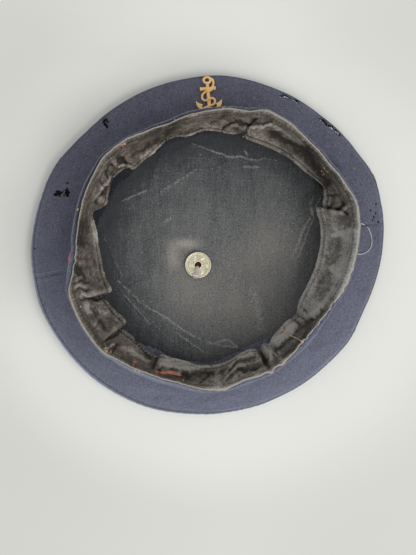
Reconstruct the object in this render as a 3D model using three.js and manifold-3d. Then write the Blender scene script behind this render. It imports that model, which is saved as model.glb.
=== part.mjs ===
// A sailor cap of navy wool, lying on its flat crown with the head opening up.
//
// Frame: millimetres, +Z up. The origin is on the surface that the cap lies on, under the middle of
// the crown. The front of the cap, where the anchor badge is, faces -Y. Angles are in degrees,
// anticlockwise from -X as seen from the opening, so the front is at 90.
//
// Radii are measured from the head axis, an upright line through the middle of the head opening.
// It stands a little off the middle of the crown, because the cap is soft and has slumped.

import * as THREE from "three";
import { mergeVertices } from "three/addons/utils/BufferGeometryUtils.js";
import Module from "manifold-3d";

// ---------------------------------------------------------------- driving dimensions

const HEAD_AXIS = { x: -2.9, y: 3.5 };
const GAP = 0.3; // between pieces that touch
const SEAM_GAP = 0.6; // between the side panels and the band, which follow each other round

const WOOL = 1.8; // one layer of the wool cloth
const BAND_WALL = 2.4; // the band is two thin layers, folded over at the rim
const LEATHER = 1.2;
const OILCLOTH = 0.9;

const LIP_Z = 7.8; // top of the crown's turned-up edge
const SEAM_Z = 10.2; // outside of the side panel where it is sewn to that edge
const BASE_Z = 18.6; // outside of the side panel where it meets the band
const RIM_Z = 50.4; // top of the wool band
const ROLL_RISE = 1.7; // the rolled edge of the leather stands this far above the wool

const LEATHER_WIDTH = 34; // from its rolled edge to its free edge
const LINING_INSET = 13; // the lining stops this far short of the crown's edge
const SEAM_DEGREES = [9, 189]; // where the two side panels are joined
const WAIST_SHARE = 0.84; // height of the piping up the band, where the band draws in
const PIPING_RADIUS = 0.6;
const PIPING_EASE = 0.15; // more room for the cord where the band turns

const DISC = { x: 6.2, y: 12.9, radius: 8.5, hole: 2.1, thickness: 1.3 };
const TIE = { width: 3.0, end_width: 4.2, thickness: 0.5, start: 0.7, reach: 9.6, degrees: 78 };

const BADGE = { ring_share: 0.14, foot_share: 0.92, stand_off: 1.1, off_centre: 3.2, tilt: 4 };

// ---------------------------------------------------------------- tables

// Rows of numbers under named columns, as objects.
function table(columns, rows) {
  const names = columns.split(" ");
  return rows.map((row) => Object.fromEntries(names.map((name, i) => [name, row[i]])));
}

// Outer edge of the crown. lap is how far the crown's rolled edge shows past the side panel.
const CROWN = table("deg edge lap", [
  [0, 110.8, 0.5], [12, 113.8, 0.5], [24, 116.1, 0.5], [36, 113.9, 0.5], [52, 112.7, 0.5],
  [68, 113.0, 0.5], [86, 114.0, 0.5], [104, 112.8, 0.5], [122, 112.3, 0.5], [136, 112.3, 0.6],
  [144, 114.0, 0.8], [152, 116.4, 1.0], [166, 116.5, 1.3], [182, 117.7, 1.6], [198, 117.4, 1.7],
  [214, 114.9, 1.8], [230, 113.1, 2.2], [246, 110.5, 1.7], [262, 107.2, 1.5], [278, 105.5, 1.0],
  [296, 104.8, 0.6], [312, 105.2, 0.5], [328, 106.9, 0.5], [337, 105.8, 0.5], [346, 107.4, 0.5],
]);

// The band's outer face at the rim, which sags in and out as soft cloth does.
//   tuck  how far the band draws in just below the rim, where the piping runs
//   rise  how far the rim stands above or below its usual height
const RIM = table("deg radius tuck rise", [
  [0, 90.2, 2.0, 0.0], [10, 93.0, 2.4, 0.3], [18, 94.5, 2.6, 0.7], [26, 92.6, 2.2, 0.6],
  [36, 90.8, 1.9, 0.2], [48, 90.8, 1.8, 0.0], [60, 92.3, 2.1, -0.2], [69, 92.9, 2.3, 0.0],
  [76, 89.6, 0.7, 0.1], [88, 87.6, 1.5, -0.3], [98, 86.2, 1.6, -0.8], [110, 83.8, 1.5, -1.2],
  [120, 84.8, 1.7, -1.0], [130, 87.6, 2.0, -0.4], [140, 89.3, 2.2, 0.2], [152, 88.4, 1.9, 0.2],
  [164, 87.3, 1.8, -0.1], [175, 86.9, 1.1, -0.4], [182, 86.8, 0.0, -0.5], [187, 90.0, 0.9, 0.0],
  [196, 93.8, 2.4, 0.9], [210, 94.2, 2.3, 1.3], [223, 94.1, 2.4, 1.0], [231, 91.8, 2.1, 0.5],
  [242, 89.4, 2.0, 0.0], [254, 88.0, 2.0, -0.3], [268, 88.7, 2.2, 0.0], [276, 88.1, 2.2, 0.2],
  [285, 86.0, 2.0, 0.0], [297, 85.3, 1.9, -0.4], [304, 84.2, 2.0, -0.6], [316, 83.4, 2.0, -1.0],
  [326, 82.7, 1.9, -1.0], [335, 83.5, 1.9, -0.7], [346, 86.8, 2.0, -0.3],
]);

// Inner edge of the band's seam allowance, a flap of wool that hangs into the crown.
const ALLOWANCE = table("deg radius", [
  [0, 80], [40, 81], [70, 80], [82, 75], [100, 73.4], [112, 73.2], [122, 71.4], [136, 71.6],
  [146, 73.6], [160, 74], [168, 75.5], [178, 79], [200, 80], [228, 77], [240, 73.5], [256, 73],
  [268, 73.3], [278, 69.5], [290, 65.8], [304, 66.8], [318, 67], [330, 71], [345, 78],
]);

// Ribs of the leather sweatband, from its rolled edge on the rim to its free edge inside.
//   rim    angle at the rim          inset  distance of the rolled edge in from the band's outer face
//   edge   angle at the free edge    reach  radius of the free edge
//   lift   extra height of the free edge
//   bow    how far the middle sags outwards, towards the band
// Where edge steps back, the leather is folded over itself and the second flap lies underneath.
const RIBS = table("rim inset edge reach lift bow", [
  [0, 0.9, 0, 68.2, 0, 3], [7, 0.8, 14, 70.5, 0, 2], [9, 0.7, 19.5, 70.4, 1, 2],
  [10.6, 0.7, 22, 72.0, 2, 1], [11.6, 0.7, 18.5, 78.0, -2, 4], [13.2, 0.6, 22.5, 76.2, 0, 4],
  [17, 0.8, 26, 79.4, 0, 3], [24, 1.3, 30.5, 81.4, 0, 2], [38, 1.8, 40, 77.8, 0, 4],
  [51, 1.5, 52, 76.0, 0, 4], [62, 0.7, 63, 74.6, 0, 3], [68, 0.9, 71.5, 73.6, 1, 2],
  [69.8, 1.2, 74, 75.2, 2, 1], [71, 1.4, 72.2, 79.2, -1, 3], [73.4, 2.2, 76, 77.6, 0, 2],
  [78, 1.9, 80, 75.5, 0, 1], [84, 1.4, 86, 75.5, 0, 2], [94, 2.0, 94, 77.0, 0, 4],
  [102, 2.2, 102, 74.9, 0, 3], [110, 2.2, 110, 76.2, 0, 3], [117, 1.7, 118, 74.2, 0, 3],
  [123, 1.2, 124, 72.2, 0, 3], [132, 1.1, 133.4, 71.6, 1, 1], [134.4, 1.2, 135.6, 75.0, -1, 3],
  [137, 1.4, 138.4, 76.6, 0, 1], [144, 1.9, 144.6, 77.9, 0, 3], [151, 2.5, 151.8, 75.8, 0, 2],
  [155, 2.6, 156, 73.7, 1, 1], [158.4, 2.6, 159, 76.0, 0, 2], [161.4, 2.7, 162, 80.0, -1, 3],
  [165, 2.9, 166, 78.2, 0, 2], [171, 3.2, 171.6, 74.4, 0, 3], [180, 3.0, 181, 72.0, 0, 3],
  [189, 3.7, 191.5, 70.4, 0, 2], [198, 1.3, 200.8, 68.0, 2, 1], [199.6, 1.0, 202.4, 70.4, 2, 1],
  [200.8, 0.9, 201.4, 77.0, -1, 3], [204, 0.8, 205.6, 73.7, 0, 2], [211, 1.0, 213, 72.2, 0, 3],
  [217.6, 1.0, 218.8, 70.5, 2, 1], [219.4, 1.0, 220.4, 72.8, 2, 1], [220.8, 1.0, 219.6, 78.4, -1, 3],
  [224, 1.3, 224.4, 75.0, 0, 3], [231, 2.3, 231, 75.0, 0, 3], [242, 2.9, 241.8, 76.8, 0, 3],
  [245.4, 3.0, 245.6, 73.6, 1, 4], [258, 2.9, 258, 73.3, 0, 4], [268, 1.8, 268, 74.2, 0, 3],
  [274, 0.9, 274, 72.8, 0, 3], [279, 2.2, 279.5, 70.7, 0, 3], [285, 2.9, 285, 68.7, 0, 2],
  [290, 2.1, 290, 67.8, 0, 1], [293.8, 2.2, 293.4, 69.1, 1, 1], [295.6, 0.6, 295.2, 72.0, -1, 3],
  [297.2, 2.0, 297, 69.2, 0, 1], [299.4, 2.0, 299.2, 68.0, 1, -1], [301.6, 1.1, 301.6, 70.0, 0, 3],
  [305, 2.1, 305, 67.2, 0, 3], [315, 3.5, 315, 66.1, 0, 4], [323, 2.9, 322.5, 67.4, 0, 3],
  [331, 2.4, 330, 64.5, 0, 2], [343, 1.1, 342.6, 64.8, 0, 3],
]);

// ---------------------------------------------------------------- curves

const { degToRad, lerp } = THREE.MathUtils;

// Cubic through p1 and p2, with p0 and p3 beyond them, at share t of the way.
function through(p0, p1, p2, p3, t) {
  const bend = 2 * p0 - 5 * p1 + 4 * p2 - p3;
  const twist = 3 * (p1 - p2) + p3 - p0;
  return p1 + 0.5 * t * (p2 - p0 + t * (bend + t * twist));
}

// A table's column as a smooth closed function of the angle.
function around(rows, column) {
  const count = rows.length;
  const wrapped = (i) => ({
    deg: rows[(i + count) % count].deg + 360 * Math.floor(i / count),
    value: rows[(i + count) % count][column],
  });
  return (degrees) => {
    const deg = THREE.MathUtils.euclideanModulo(degrees, 360);
    let i = rows.findLastIndex((row) => row.deg <= deg);
    const [a, b, c, d] = [i - 1, i, i + 1, i + 2].map(wrapped);
    const span = c.deg - b.deg;
    // Slopes at b and c, so that rows need not be evenly spaced.
    const at_b = ((c.value - a.value) / (c.deg - a.deg)) * span;
    const at_c = ((d.value - b.value) / (d.deg - b.deg)) * span;
    return through(c.value - 2 * at_c, b.value, c.value, b.value + 2 * at_b, (deg - b.deg) / span);
  };
}

const crown_edge = around(CROWN, "edge");
const crown_lap = around(CROWN, "lap");
const rim_radius = around(RIM, "radius");
const rim_tuck = around(RIM, "tuck");
const rim_rise = around(RIM, "rise");
const allowance_radius = around(ALLOWANCE, "radius");

// The mean of a function of the angle at several places round an angle.
function smoothed(curve, degrees, steps) {
  return steps.reduce((sum, step) => sum + curve(degrees + step), 0) / steps.length;
}

const rim_z = (deg) => RIM_Z + rim_rise(deg);
const waist_radius = (deg) => rim_radius(deg) - rim_tuck(deg);
const base_radius = (deg) => smoothed(rim_radius, deg, [-40, -20, 0, 20, 40]) - 1;

// Outer face of the band at a share of the way up from the crown to the rim.
function band_face(deg, share) {
  return share < WAIST_SHARE
    ? lerp(base_radius(deg), waist_radius(deg), share / WAIST_SHARE)
    : lerp(waist_radius(deg), rim_radius(deg), (share - WAIST_SHARE) / (1 - WAIST_SHARE));
}

function band_share(deg, z) {
  return THREE.MathUtils.clamp((z - BASE_Z) / (rim_z(deg) - BASE_Z), 0, 1);
}

// A point given by angle, radius from the head axis, and height.
function at(deg, radius, z) {
  const angle = degToRad(deg);
  const x = HEAD_AXIS.x - radius * Math.cos(angle);
  const y = HEAD_AXIS.y - radius * Math.sin(angle);
  return new THREE.Vector3(x, y, z);
}

// ---------------------------------------------------------------- surfaces

// Joins equal rows of points into a closed surface. A ring is joined end to start, and a strip is
// closed by a flat cap at each end. Each row is a closed outline of the wall's section.
function loft(sections, ring) {
  const size = sections[0].length;
  const positions = sections.flat().flatMap((p) => p.toArray());
  const index = [];
  const rows = ring ? sections.length : sections.length - 1;
  for (let i = 0; i < rows; i++) {
    const next = (i + 1) % sections.length;
    for (let j = 0; j < size; j++) {
      const k = (j + 1) % size;
      const [a, b, c, d] = [i * size + j, next * size + j, next * size + k, i * size + k];
      index.push(a, b, d, b, c, d);
    }
  }
  if (!ring) {
    // The sections are walls of even thickness, so opposite points face each other across them.
    const last = (sections.length - 1) * size;
    for (let j = 0; j < size / 2 - 1; j++) {
      const k = size - 1 - j;
      index.push(j, k - 1, k, j, j + 1, k - 1);
      index.push(last + j, last + k, last + k - 1, last + j, last + k - 1, last + j + 1);
    }
  }
  const geometry = new THREE.BufferGeometry();
  geometry.setAttribute("position", new THREE.Float32BufferAttribute(positions, 3));
  geometry.setIndex(index);
  geometry.computeVertexNormals();
  return geometry;
}

// A disc-like solid: rings from the middle of its underside, out round its edge, and back to the
// middle of its upper side.
function dish(rings, bottom, top) {
  const count = rings[0].length;
  const positions = [bottom, ...rings.flat(), top].flatMap((p) => p.toArray());
  const index = [];
  const last = 1 + rings.length * count;
  for (let i = 0; i < count; i++) {
    const j = (i + 1) % count;
    index.push(0, 1 + j, 1 + i);
    index.push(last, last - count + i, last - count + j);
    for (let r = 0; r < rings.length - 1; r++) {
      const [inner, outer] = [1 + r * count, 1 + (r + 1) * count];
      index.push(inner + i, inner + j, outer + i, inner + j, outer + j, outer + i);
    }
  }
  const geometry = new THREE.BufferGeometry();
  geometry.setAttribute("position", new THREE.Float32BufferAttribute(positions, 3));
  geometry.setIndex(index);
  geometry.computeVertexNormals();
  return geometry;
}

function turns(count, start = 0, end = 360) {
  const closed = end - start === 360;
  const steps = closed ? count : count - 1;
  return Array.from({ length: count }, (_, i) => start + ((end - start) * i) / steps);
}

// ---------------------------------------------------------------- the wool shell

const CROWN_STEPS = 60; // steps round the crown
const BAND_STEPS = 90; // steps round the band
const FOLD = 1.2; // how far down the rounding of the band's fold starts
const FLAP = 1.4; // thickness of the frayed seam allowance
const FLAP_DROOP = 0.32; // how far it falls for each mm that it reaches in

// The crown: a flat disc of wool whose edge turns up.
function crown_top() {
  // Each pair is a distance in from the crown's edge and a height, on the outer face, then the inner.
  const outer = [[9, 0], [4.2, 0.7], [1.3, 2.6], [0, 5.2], [0.2, LIP_Z]];
  const inner = [[WOOL, LIP_Z], [WOOL, 5.2], [2.9, 3.7], [5.2, WOOL + 0.6], [9.4, WOOL]];
  const middle = 0.5; // one more ring, half way in
  const ring = (inset, z, share = 1) =>
    turns(CROWN_STEPS).map((deg) => at(deg, (crown_edge(deg) - inset) * share, z));
  const rings = [
    ring(9, 0, middle),
    ...outer.map(([inset, z]) => ring(inset, z)),
    ...inner.map(([inset, z]) => ring(inset, z)),
    ring(9.4, WOOL, middle),
  ];
  return dish(rings, at(0, 0, 0), at(0, 0, WOOL));
}

// Upper face of a side panel, from the seam at share 0 to the band at share 1.
function side_face(deg, share) {
  const radius = lerp(crown_edge(deg) - crown_lap(deg), base_radius(deg) + SEAM_GAP, share);
  const fullness = 1.3 + 0.4 * Math.sin(degToRad(5 * deg)); // the cloth is a little full
  return at(deg, radius, lerp(SEAM_Z, BASE_Z, share) + fullness * Math.sin(Math.PI * share));
}

// One of the two side panels, which slope up from the crown's edge to the band.
function crown_side(start, end) {
  const shares = [0, 0.15, 0.5, 1];
  const down = new THREE.Vector3(0, 0, -WOOL);
  const open = 0.15; // half the gap at each join, in degrees
  return loft(
    turns(CROWN_STEPS / 2 + 1, start + open, end - open).map((deg) => {
      const face = shares.map((share) => side_face(deg, share));
      return [...face, ...face.map((p) => p.clone().add(down)).reverse()];
    }),
    false,
  );
}

// The band: an upright wall folded over at the rim, with its seam allowance turned in at the foot.
function band() {
  const foot = BASE_Z - WOOL;
  return loft(
    turns(BAND_STEPS).map((deg) => {
      const up = (share, inwards, lower = 0) => {
        const z = lerp(BASE_Z, rim_z(deg), share) - lower;
        return at(deg, band_face(deg, share) - inwards, z);
      };
      const flap = allowance_radius(deg);
      const drop = FLAP_DROOP * (base_radius(deg) - flap);
      return [
        at(deg, base_radius(deg), foot),
        up(0.35, 0),
        up(WAIST_SHARE, 0),
        up(1, 0, FOLD),
        up(1, 0.5 * BAND_WALL),
        up(1, BAND_WALL, FOLD),
        up(WAIST_SHARE, BAND_WALL),
        up(0.35, BAND_WALL),
        at(deg, base_radius(deg) - BAND_WALL, foot + 2.6),
        at(deg, flap, foot + FLAP - drop),
        at(deg, flap, foot - drop),
      ];
    }),
    true,
  );
}

// A thin cord that edges the band near the rim.
function piping() {
  const sides = turns(5);
  return loft(
    turns(BAND_STEPS).map((deg) => {
      const middle = waist_radius(deg) + GAP + PIPING_EASE + PIPING_RADIUS;
      const z = lerp(BASE_Z, rim_z(deg), WAIST_SHARE);
      return sides.map((side) => {
        const out = PIPING_RADIUS * Math.cos(degToRad(side));
        const rise = PIPING_RADIUS * Math.sin(degToRad(side));
        return at(deg, middle + out, z + rise);
      });
    }),
    true,
  );
}

// ---------------------------------------------------------------- the sweatband

const SHOULDER_SHARE = 0.08; // where the leather has turned over the rim
const SHOULDER_DROP = 2.2; // its height below the roll there
const SHOULDER_BACK = 1.6; // its least distance in from the roll
const SHOULDER_CLEAR = 1.8; // its least distance from the band's inner face

// A rib at any place between the rows of the table.
function rib_at(place) {
  const count = RIBS.length;
  const i = Math.floor(place);
  const rows = [i - 1, i, i + 1, i + 2].map((k) => {
    const row = RIBS[((k % count) + count) % count];
    const full_turns = 360 * Math.floor(k / count);
    return { ...row, rim: row.rim + full_turns, edge: row.edge + full_turns };
  });
  const column = (name) => through(...rows.map((row) => row[name]), place - i);
  return Object.fromEntries(Object.keys(RIBS[0]).map((name) => [name, column(name)]));
}

// The middle of the leather's thickness along one rib.
function rib_line(rib, shares) {
  const roll = rim_radius(rib.rim) - rib.inset;
  const top = rim_z(rib.rim) + ROLL_RISE;
  const wall_limit = rim_radius(rib.rim) - BAND_WALL - SHOULDER_CLEAR;
  const shoulder = Math.min(roll - SHOULDER_BACK, wall_limit);
  const fall = Math.sqrt(LEATHER_WIDTH ** 2 - (roll - rib.reach) ** 2);
  const foot = top - fall + rib.lift;
  const sag = new THREE.CubicBezierCurve3(
    new THREE.Vector3(shoulder, 0, top - SHOULDER_DROP),
    new THREE.Vector3(shoulder + 0.4 * rib.bow, 0, lerp(top, foot, 0.42)),
    new THREE.Vector3(lerp(shoulder, rib.reach, 0.55) + rib.bow, 0, lerp(top, foot, 0.72)),
    new THREE.Vector3(rib.reach, 0, foot),
  );
  return shares.map((share) => {
    const deg = lerp(rib.rim, rib.edge, share ** 1.2);
    if (share === 0) return at(deg, roll, top);
    const point = sag.getPoint((share - SHOULDER_SHARE) / (1 - SHOULDER_SHARE));
    const wall = band_face(deg, band_share(deg, point.z)) - BAND_WALL;
    return at(deg, Math.min(point.x, wall - GAP - 1.1 * LEATHER), point.z);
  });
}

function sweatband() {
  const shares = [0, SHOULDER_SHARE, 0.25, 0.45, 0.65, 0.83, 1];
  const places = Array.from({ length: RIBS.length * 2 }, (_, i) => i / 2);
  const lines = places.map((place) => rib_line(rib_at(place), shares));
  const count = lines.length;
  return loft(
    lines.map((line, i) => {
      const before = lines[(i + count - 1) % count];
      const after = lines[(i + 1) % count];
      const faces = line.map((point, j) => {
        const along = after[j].clone().sub(before[j]);
        const down = line[Math.min(j + 1, line.length - 1)].clone().sub(line[Math.max(j - 1, 0)]);
        const out = along.cross(down).normalize();
        const half = 0.5 * LEATHER * (j === 0 ? 1.4 : 1);
        return [point.clone().addScaledVector(out, half), point.clone().addScaledVector(out, -half)];
      });
      return [...faces.map((face) => face[0]), ...faces.map((face) => face[1]).reverse()];
    }),
    true,
  );
}

// ---------------------------------------------------------------- inside the crown

const LINING_Z = WOOL + GAP; // underside of the lining

// The lining: a disc of black oilcloth, slightly quilted by years of folding.
function lining() {
  const shares = [0.3, 0.62, 0.88, 1];
  const height = (deg, share) => {
    const swell = 0.5 * Math.sin(degToRad(3 * deg + 40)) + 0.3 * Math.sin(degToRad(7 * deg));
    return LINING_Z + 0.8 * share * (1 + swell) * Math.sin(Math.PI * share);
  };
  const ring = (share, rise) =>
    turns(CROWN_STEPS).map((deg) =>
      at(deg, (crown_edge(deg) - LINING_INSET) * share, height(deg, share) + rise),
    );
  const rings = [
    ...shares.map((share) => ring(share, 0)),
    ...shares.map((share) => ring(share, OILCLOTH)).reverse(),
  ];
  return dish(rings, at(0, 0, LINING_Z), at(0, 0, LINING_Z + OILCLOTH));
}

const DISC_Z = LINING_Z + OILCLOTH + 0.9; // underside of the pierced disc, clear of the swell

// The pierced metal disc inside the crown, with a raised rim.
function pierced_disc() {
  const { radius, hole, thickness } = DISC;
  const rim = 0.7;
  const field = thickness - 0.25;
  const section = [
    [hole, 0], [radius - 0.2, 0], [radius, 0.2], [radius, thickness - 0.15],
    [radius - 0.15, thickness], [radius - rim, thickness], [radius - rim - 0.15, field],
    [hole + 0.75, field], [hole + 0.6, thickness], [hole, thickness], [hole, 0],
  ];
  const lathe = new THREE.LatheGeometry(section.map(([r, z]) => new THREE.Vector2(r, z)), 32);
  return lathe.rotateX(Math.PI / 2).translate(DISC.x, DISC.y, DISC_Z);
}

// The strip that comes up through the disc's hole and is folded over its rim.
function tie() {
  const over = DISC.thickness + GAP + 0.5 * TIE.thickness;
  const foot = LINING_Z + OILCLOTH + GAP - DISC_Z;
  const path = [
    [TIE.start, foot + 0.2], [TIE.start, 0.5 * over], [TIE.start + 0.5, over], [2.4, over + 0.1],
    [DISC.radius - 0.6, over + 0.1], [DISC.radius + 0.6, over - 0.5], [TIE.reach, over - 1.3],
  ];
  const line = new THREE.CatmullRomCurve3(path.map(([x, z]) => new THREE.Vector3(x, 0, z)));
  const points = line.getSpacedPoints(12);
  const sections = points.map((point, i) => {
    const ahead = points[Math.min(i + 1, points.length - 1)];
    const behind = points[Math.max(i - 1, 0)];
    const along = ahead.clone().sub(behind).normalize();
    const up = new THREE.Vector3(-along.z, 0, along.x).multiplyScalar(0.5 * TIE.thickness);
    const width = lerp(TIE.width, TIE.end_width, Math.max(0, i / 6 - 1));
    return [[-1, 1], [1, 1], [1, -1], [-1, -1]].map(([side, face]) =>
      point.clone().add(new THREE.Vector3(0, 0.5 * width * side, 0)).addScaledVector(up, face),
    );
  });
  return loft(sections, false).rotateZ(degToRad(TIE.degrees)).translate(DISC.x, DISC.y, DISC_Z);
}

// ---------------------------------------------------------------- solids

const wasm = await Module();
wasm.setup();

function to_solid(geometry) {
  const source = geometry.clone();
  source.deleteAttribute("normal");
  source.deleteAttribute("uv");
  const merged = mergeVertices(source, 1e-4);
  const vertProperties = new Float32Array(merged.attributes.position.array);
  const triVerts = new Uint32Array(merged.index.array);
  return new wasm.Manifold(new wasm.Mesh({ numProp: 3, vertProperties, triVerts }));
}

function to_geometry(solid) {
  const mesh = solid.getMesh();
  const geometry = new THREE.BufferGeometry();
  geometry.setAttribute("position", new THREE.BufferAttribute(mesh.vertProperties, 3));
  geometry.setIndex(new THREE.BufferAttribute(mesh.triVerts, 1));
  geometry.computeVertexNormals();
  return geometry;
}

// ---------------------------------------------------------------- the anchor badge

// The badge is worked out flat, with X across it, Y up its shank and Z out of its face. Its ring is
// centred on the origin.
const ANCHOR = {
  ring: 2.1, ring_wire: 0.75, stock_y: -4.9, stock_half: 5.1, stock_radius: 1.05,
  crown_y: -20.6, shank_top: 0.8, shank_foot: 1.5, arm_half: 8.0, tip_y: -13.6,
};
const POSTS = { radius: 0.6, clearance: 0.4, depth: 2.6, y: [-4.9, -17.5] };

// Where the rope runs, as it winds down the shank.
const ROPE = table("x y", [
  [2.2, 2.3], [4.6, 1.0], [5.3, -2.2], [3.6, -6.4], [0.2, -8.2], [-3.4, -9.6], [-3.6, -12.0],
  [-0.4, -13.4], [3.4, -13.2], [4.5, -15.6], [2.2, -18.0], [-1.4, -19.2],
]);

function anchor_arms() {
  const { arm_half, tip_y, crown_y } = ANCHOR;
  const shape = new THREE.Shape();
  shape.moveTo(0, crown_y - 1.2);
  shape.quadraticCurveTo(arm_half * 0.9, crown_y + 0.3, arm_half, tip_y);
  shape.lineTo(arm_half - 3.6, tip_y - 3.6);
  shape.lineTo(arm_half - 2.6, tip_y - 3.9);
  shape.quadraticCurveTo(arm_half - 4.2, crown_y + 1.4, 0, crown_y + 1.5);
  shape.quadraticCurveTo(4.2 - arm_half, crown_y + 1.4, 2.6 - arm_half, tip_y - 3.9);
  shape.lineTo(3.6 - arm_half, tip_y - 3.6);
  shape.lineTo(-arm_half, tip_y);
  shape.quadraticCurveTo(-arm_half * 0.9, crown_y + 0.3, 0, crown_y - 1.2);
  return new THREE.ExtrudeGeometry(shape, { depth: 1.5, bevelEnabled: false, curveSegments: 8 });
}

function anchor_badge() {
  const { ring, ring_wire, stock_y, stock_half, stock_radius, crown_y } = ANCHOR;
  const eye = new THREE.TorusGeometry(ring, ring_wire, 8, 24).translate(0, 0, ring_wire);
  const stock = new THREE.CylinderGeometry(stock_radius, stock_radius, 2 * stock_half, 12)
    .rotateZ(Math.PI / 2)
    .translate(0, stock_y, stock_radius);
  const length = -crown_y - ring;
  const shank = new THREE.CylinderGeometry(ANCHOR.shank_top, ANCHOR.shank_foot, length, 12)
    .translate(0, 0.5 * (crown_y - ring), ANCHOR.shank_top);
  const route = new THREE.CatmullRomCurve3(
    ROPE.map(({ x, y }) => new THREE.Vector3(x, y, Math.abs(x) < 1.5 ? 1.7 : 0.9)),
  );
  const strand = new THREE.Shape().absarc(0, 0, 0.62, 0, 2 * Math.PI);
  const rope = new THREE.ExtrudeGeometry(strand, {
    extrudePath: route, steps: 44, curveSegments: 4, bevelEnabled: false,
  });
  const below = to_solid(new THREE.BoxGeometry(60, 60, 10).translate(0, 0, -5));
  const posts = POSTS.y.map((y) =>
    to_solid(
      new THREE.CylinderGeometry(POSTS.radius, POSTS.radius, POSTS.depth + 0.6, 12)
        .rotateX(Math.PI / 2)
        .translate(0, y, 0.3 - 0.5 * POSTS.depth),
    ),
  );
  const face = [eye, stock, shank, anchor_arms(), rope].map(to_solid).reduce((a, b) => a.add(b));
  return posts.reduce((whole, post) => whole.add(post), face.subtract(below));
}

// Clearance holes in the cloth for the badge's two posts.
function post_holes() {
  const radius = POSTS.radius + POSTS.clearance;
  return POSTS.y
    .map((y) => new THREE.CylinderGeometry(radius, radius, 8, 16).rotateX(Math.PI / 2).translate(0, y, -1))
    .map(to_solid);
}

// Lays the flat badge on the slope of the front side panel, with its ring towards the crown's edge.
function badge_place() {
  const ring = side_face(90, BADGE.ring_share);
  const foot = side_face(90, BADGE.foot_share);
  const up = ring.clone().sub(foot).normalize();
  const across = new THREE.Vector3(-1, 0, 0);
  const out = across.clone().cross(up);
  ring.addScaledVector(out, BADGE.stand_off).addScaledVector(across, -BADGE.off_centre);
  return new THREE.Matrix4()
    .makeBasis(across, up, out)
    .setPosition(ring)
    .multiply(new THREE.Matrix4().makeRotationZ(degToRad(BADGE.tilt)));
}

// ---------------------------------------------------------------- the assembly

const MATERIALS = {
  navy_wool: { color: 0x2c2d3b, roughness: 0.95, metalness: 0 },
  red_wool: { color: 0xb3222e, roughness: 0.9, metalness: 0 },
  black_leather: { color: 0x35312c, roughness: 0.5, metalness: 0 },
  black_oilcloth: { color: 0x2a2c2e, roughness: 0.45, metalness: 0 },
  nickel: { color: 0xc9c3a4, roughness: 0.4, metalness: 0.8 },
  pale_tape: { color: 0xd8cdc2, roughness: 0.3, metalness: 0 },
  gilt_brass: { color: 0xc89b52, roughness: 0.35, metalness: 1 },
};

const cap = new THREE.Group();

function add(name, geometry, material) {
  const mesh = new THREE.Mesh(geometry, new THREE.MeshStandardMaterial(MATERIALS[material]));
  mesh.name = name;
  cap.add(mesh);
  return mesh;
}

const place = badge_place();
const placed = (geometry) => to_solid(geometry.applyMatrix4(place));
const holes = post_holes().map((hole) => placed(to_geometry(hole)));
const front = holes.reduce((panel, hole) => panel.subtract(hole), to_solid(crown_side(...SEAM_DEGREES)));

add("crown_top", crown_top(), "navy_wool");
add("crown_side_front", to_geometry(front), "navy_wool");
add("crown_side_back", crown_side(SEAM_DEGREES[1], SEAM_DEGREES[0] + 360), "navy_wool");
add("band", band(), "navy_wool");
add("piping", piping(), "red_wool");
add("sweatband", sweatband(), "black_leather");
add("lining", lining(), "black_oilcloth");
add("pierced_disc", pierced_disc(), "nickel");
add("tie", tie(), "pale_tape");
add("anchor_badge", to_geometry(anchor_badge()).applyMatrix4(place), "gilt_brass");

export default cap;
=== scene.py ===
# %% [markdown]
# # A worn sailor cap
#
# The cap lies upside down on its flat crown, so the camera looks down into the head opening.
# It is sewn from navy wool: a flat crown, two sloping side panels and an upright band with a thin
# red piping. A leather sweatband is folded over the band's rim and hangs inside, creased by years
# of wear. Inside the crown lie an oilcloth lining and a pierced metal disc.
#
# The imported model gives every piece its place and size. Each soft piece is then modelled again
# here as a fine mesh with its creases, seams and wear, and stands for its plain solid.

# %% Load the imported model
import math

import bmesh
import bpy
import numpy as np
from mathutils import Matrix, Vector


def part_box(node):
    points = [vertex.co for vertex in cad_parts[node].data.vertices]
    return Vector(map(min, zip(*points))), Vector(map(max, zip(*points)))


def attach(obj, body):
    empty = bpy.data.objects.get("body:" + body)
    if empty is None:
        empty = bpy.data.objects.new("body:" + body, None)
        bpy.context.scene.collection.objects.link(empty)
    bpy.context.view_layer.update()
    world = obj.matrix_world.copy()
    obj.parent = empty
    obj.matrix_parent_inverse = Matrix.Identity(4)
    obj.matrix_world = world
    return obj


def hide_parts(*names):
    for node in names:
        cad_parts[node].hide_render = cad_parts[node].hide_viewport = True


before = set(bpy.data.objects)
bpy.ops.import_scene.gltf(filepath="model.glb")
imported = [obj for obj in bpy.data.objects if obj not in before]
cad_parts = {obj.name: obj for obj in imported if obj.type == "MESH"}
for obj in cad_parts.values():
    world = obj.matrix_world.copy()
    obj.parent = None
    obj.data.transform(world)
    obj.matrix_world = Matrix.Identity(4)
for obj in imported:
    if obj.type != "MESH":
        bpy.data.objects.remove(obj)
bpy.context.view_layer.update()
print("packed pieces:", sorted(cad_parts))

# %% [markdown]
# ## Camera
#
# The camera is fixed 0.77 m over the cap and looks straight down. Its top edge points to the
# front of the cap, at -Y, so it is turned half round. It comes first, because everything after it
# is judged through it.

# %% Camera
CAMERA_PLACE = (-0.0003, 0.0211, 0.774)
LENS_MM = 76.4


def in_scene(name, data):
    """A new object of a camera, a lamp, a mesh or a curve, in the scene."""
    thing = bpy.data.objects.new(name, data)
    bpy.context.scene.collection.objects.link(thing)
    return thing


camera_data = bpy.data.cameras.new("camera")
camera_data.lens = LENS_MM
camera = in_scene("camera", camera_data)
camera.location = CAMERA_PLACE
camera.rotation_euler = (0, 0, math.pi)
bpy.context.scene.camera = camera
print("camera at", CAMERA_PLACE)

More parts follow.
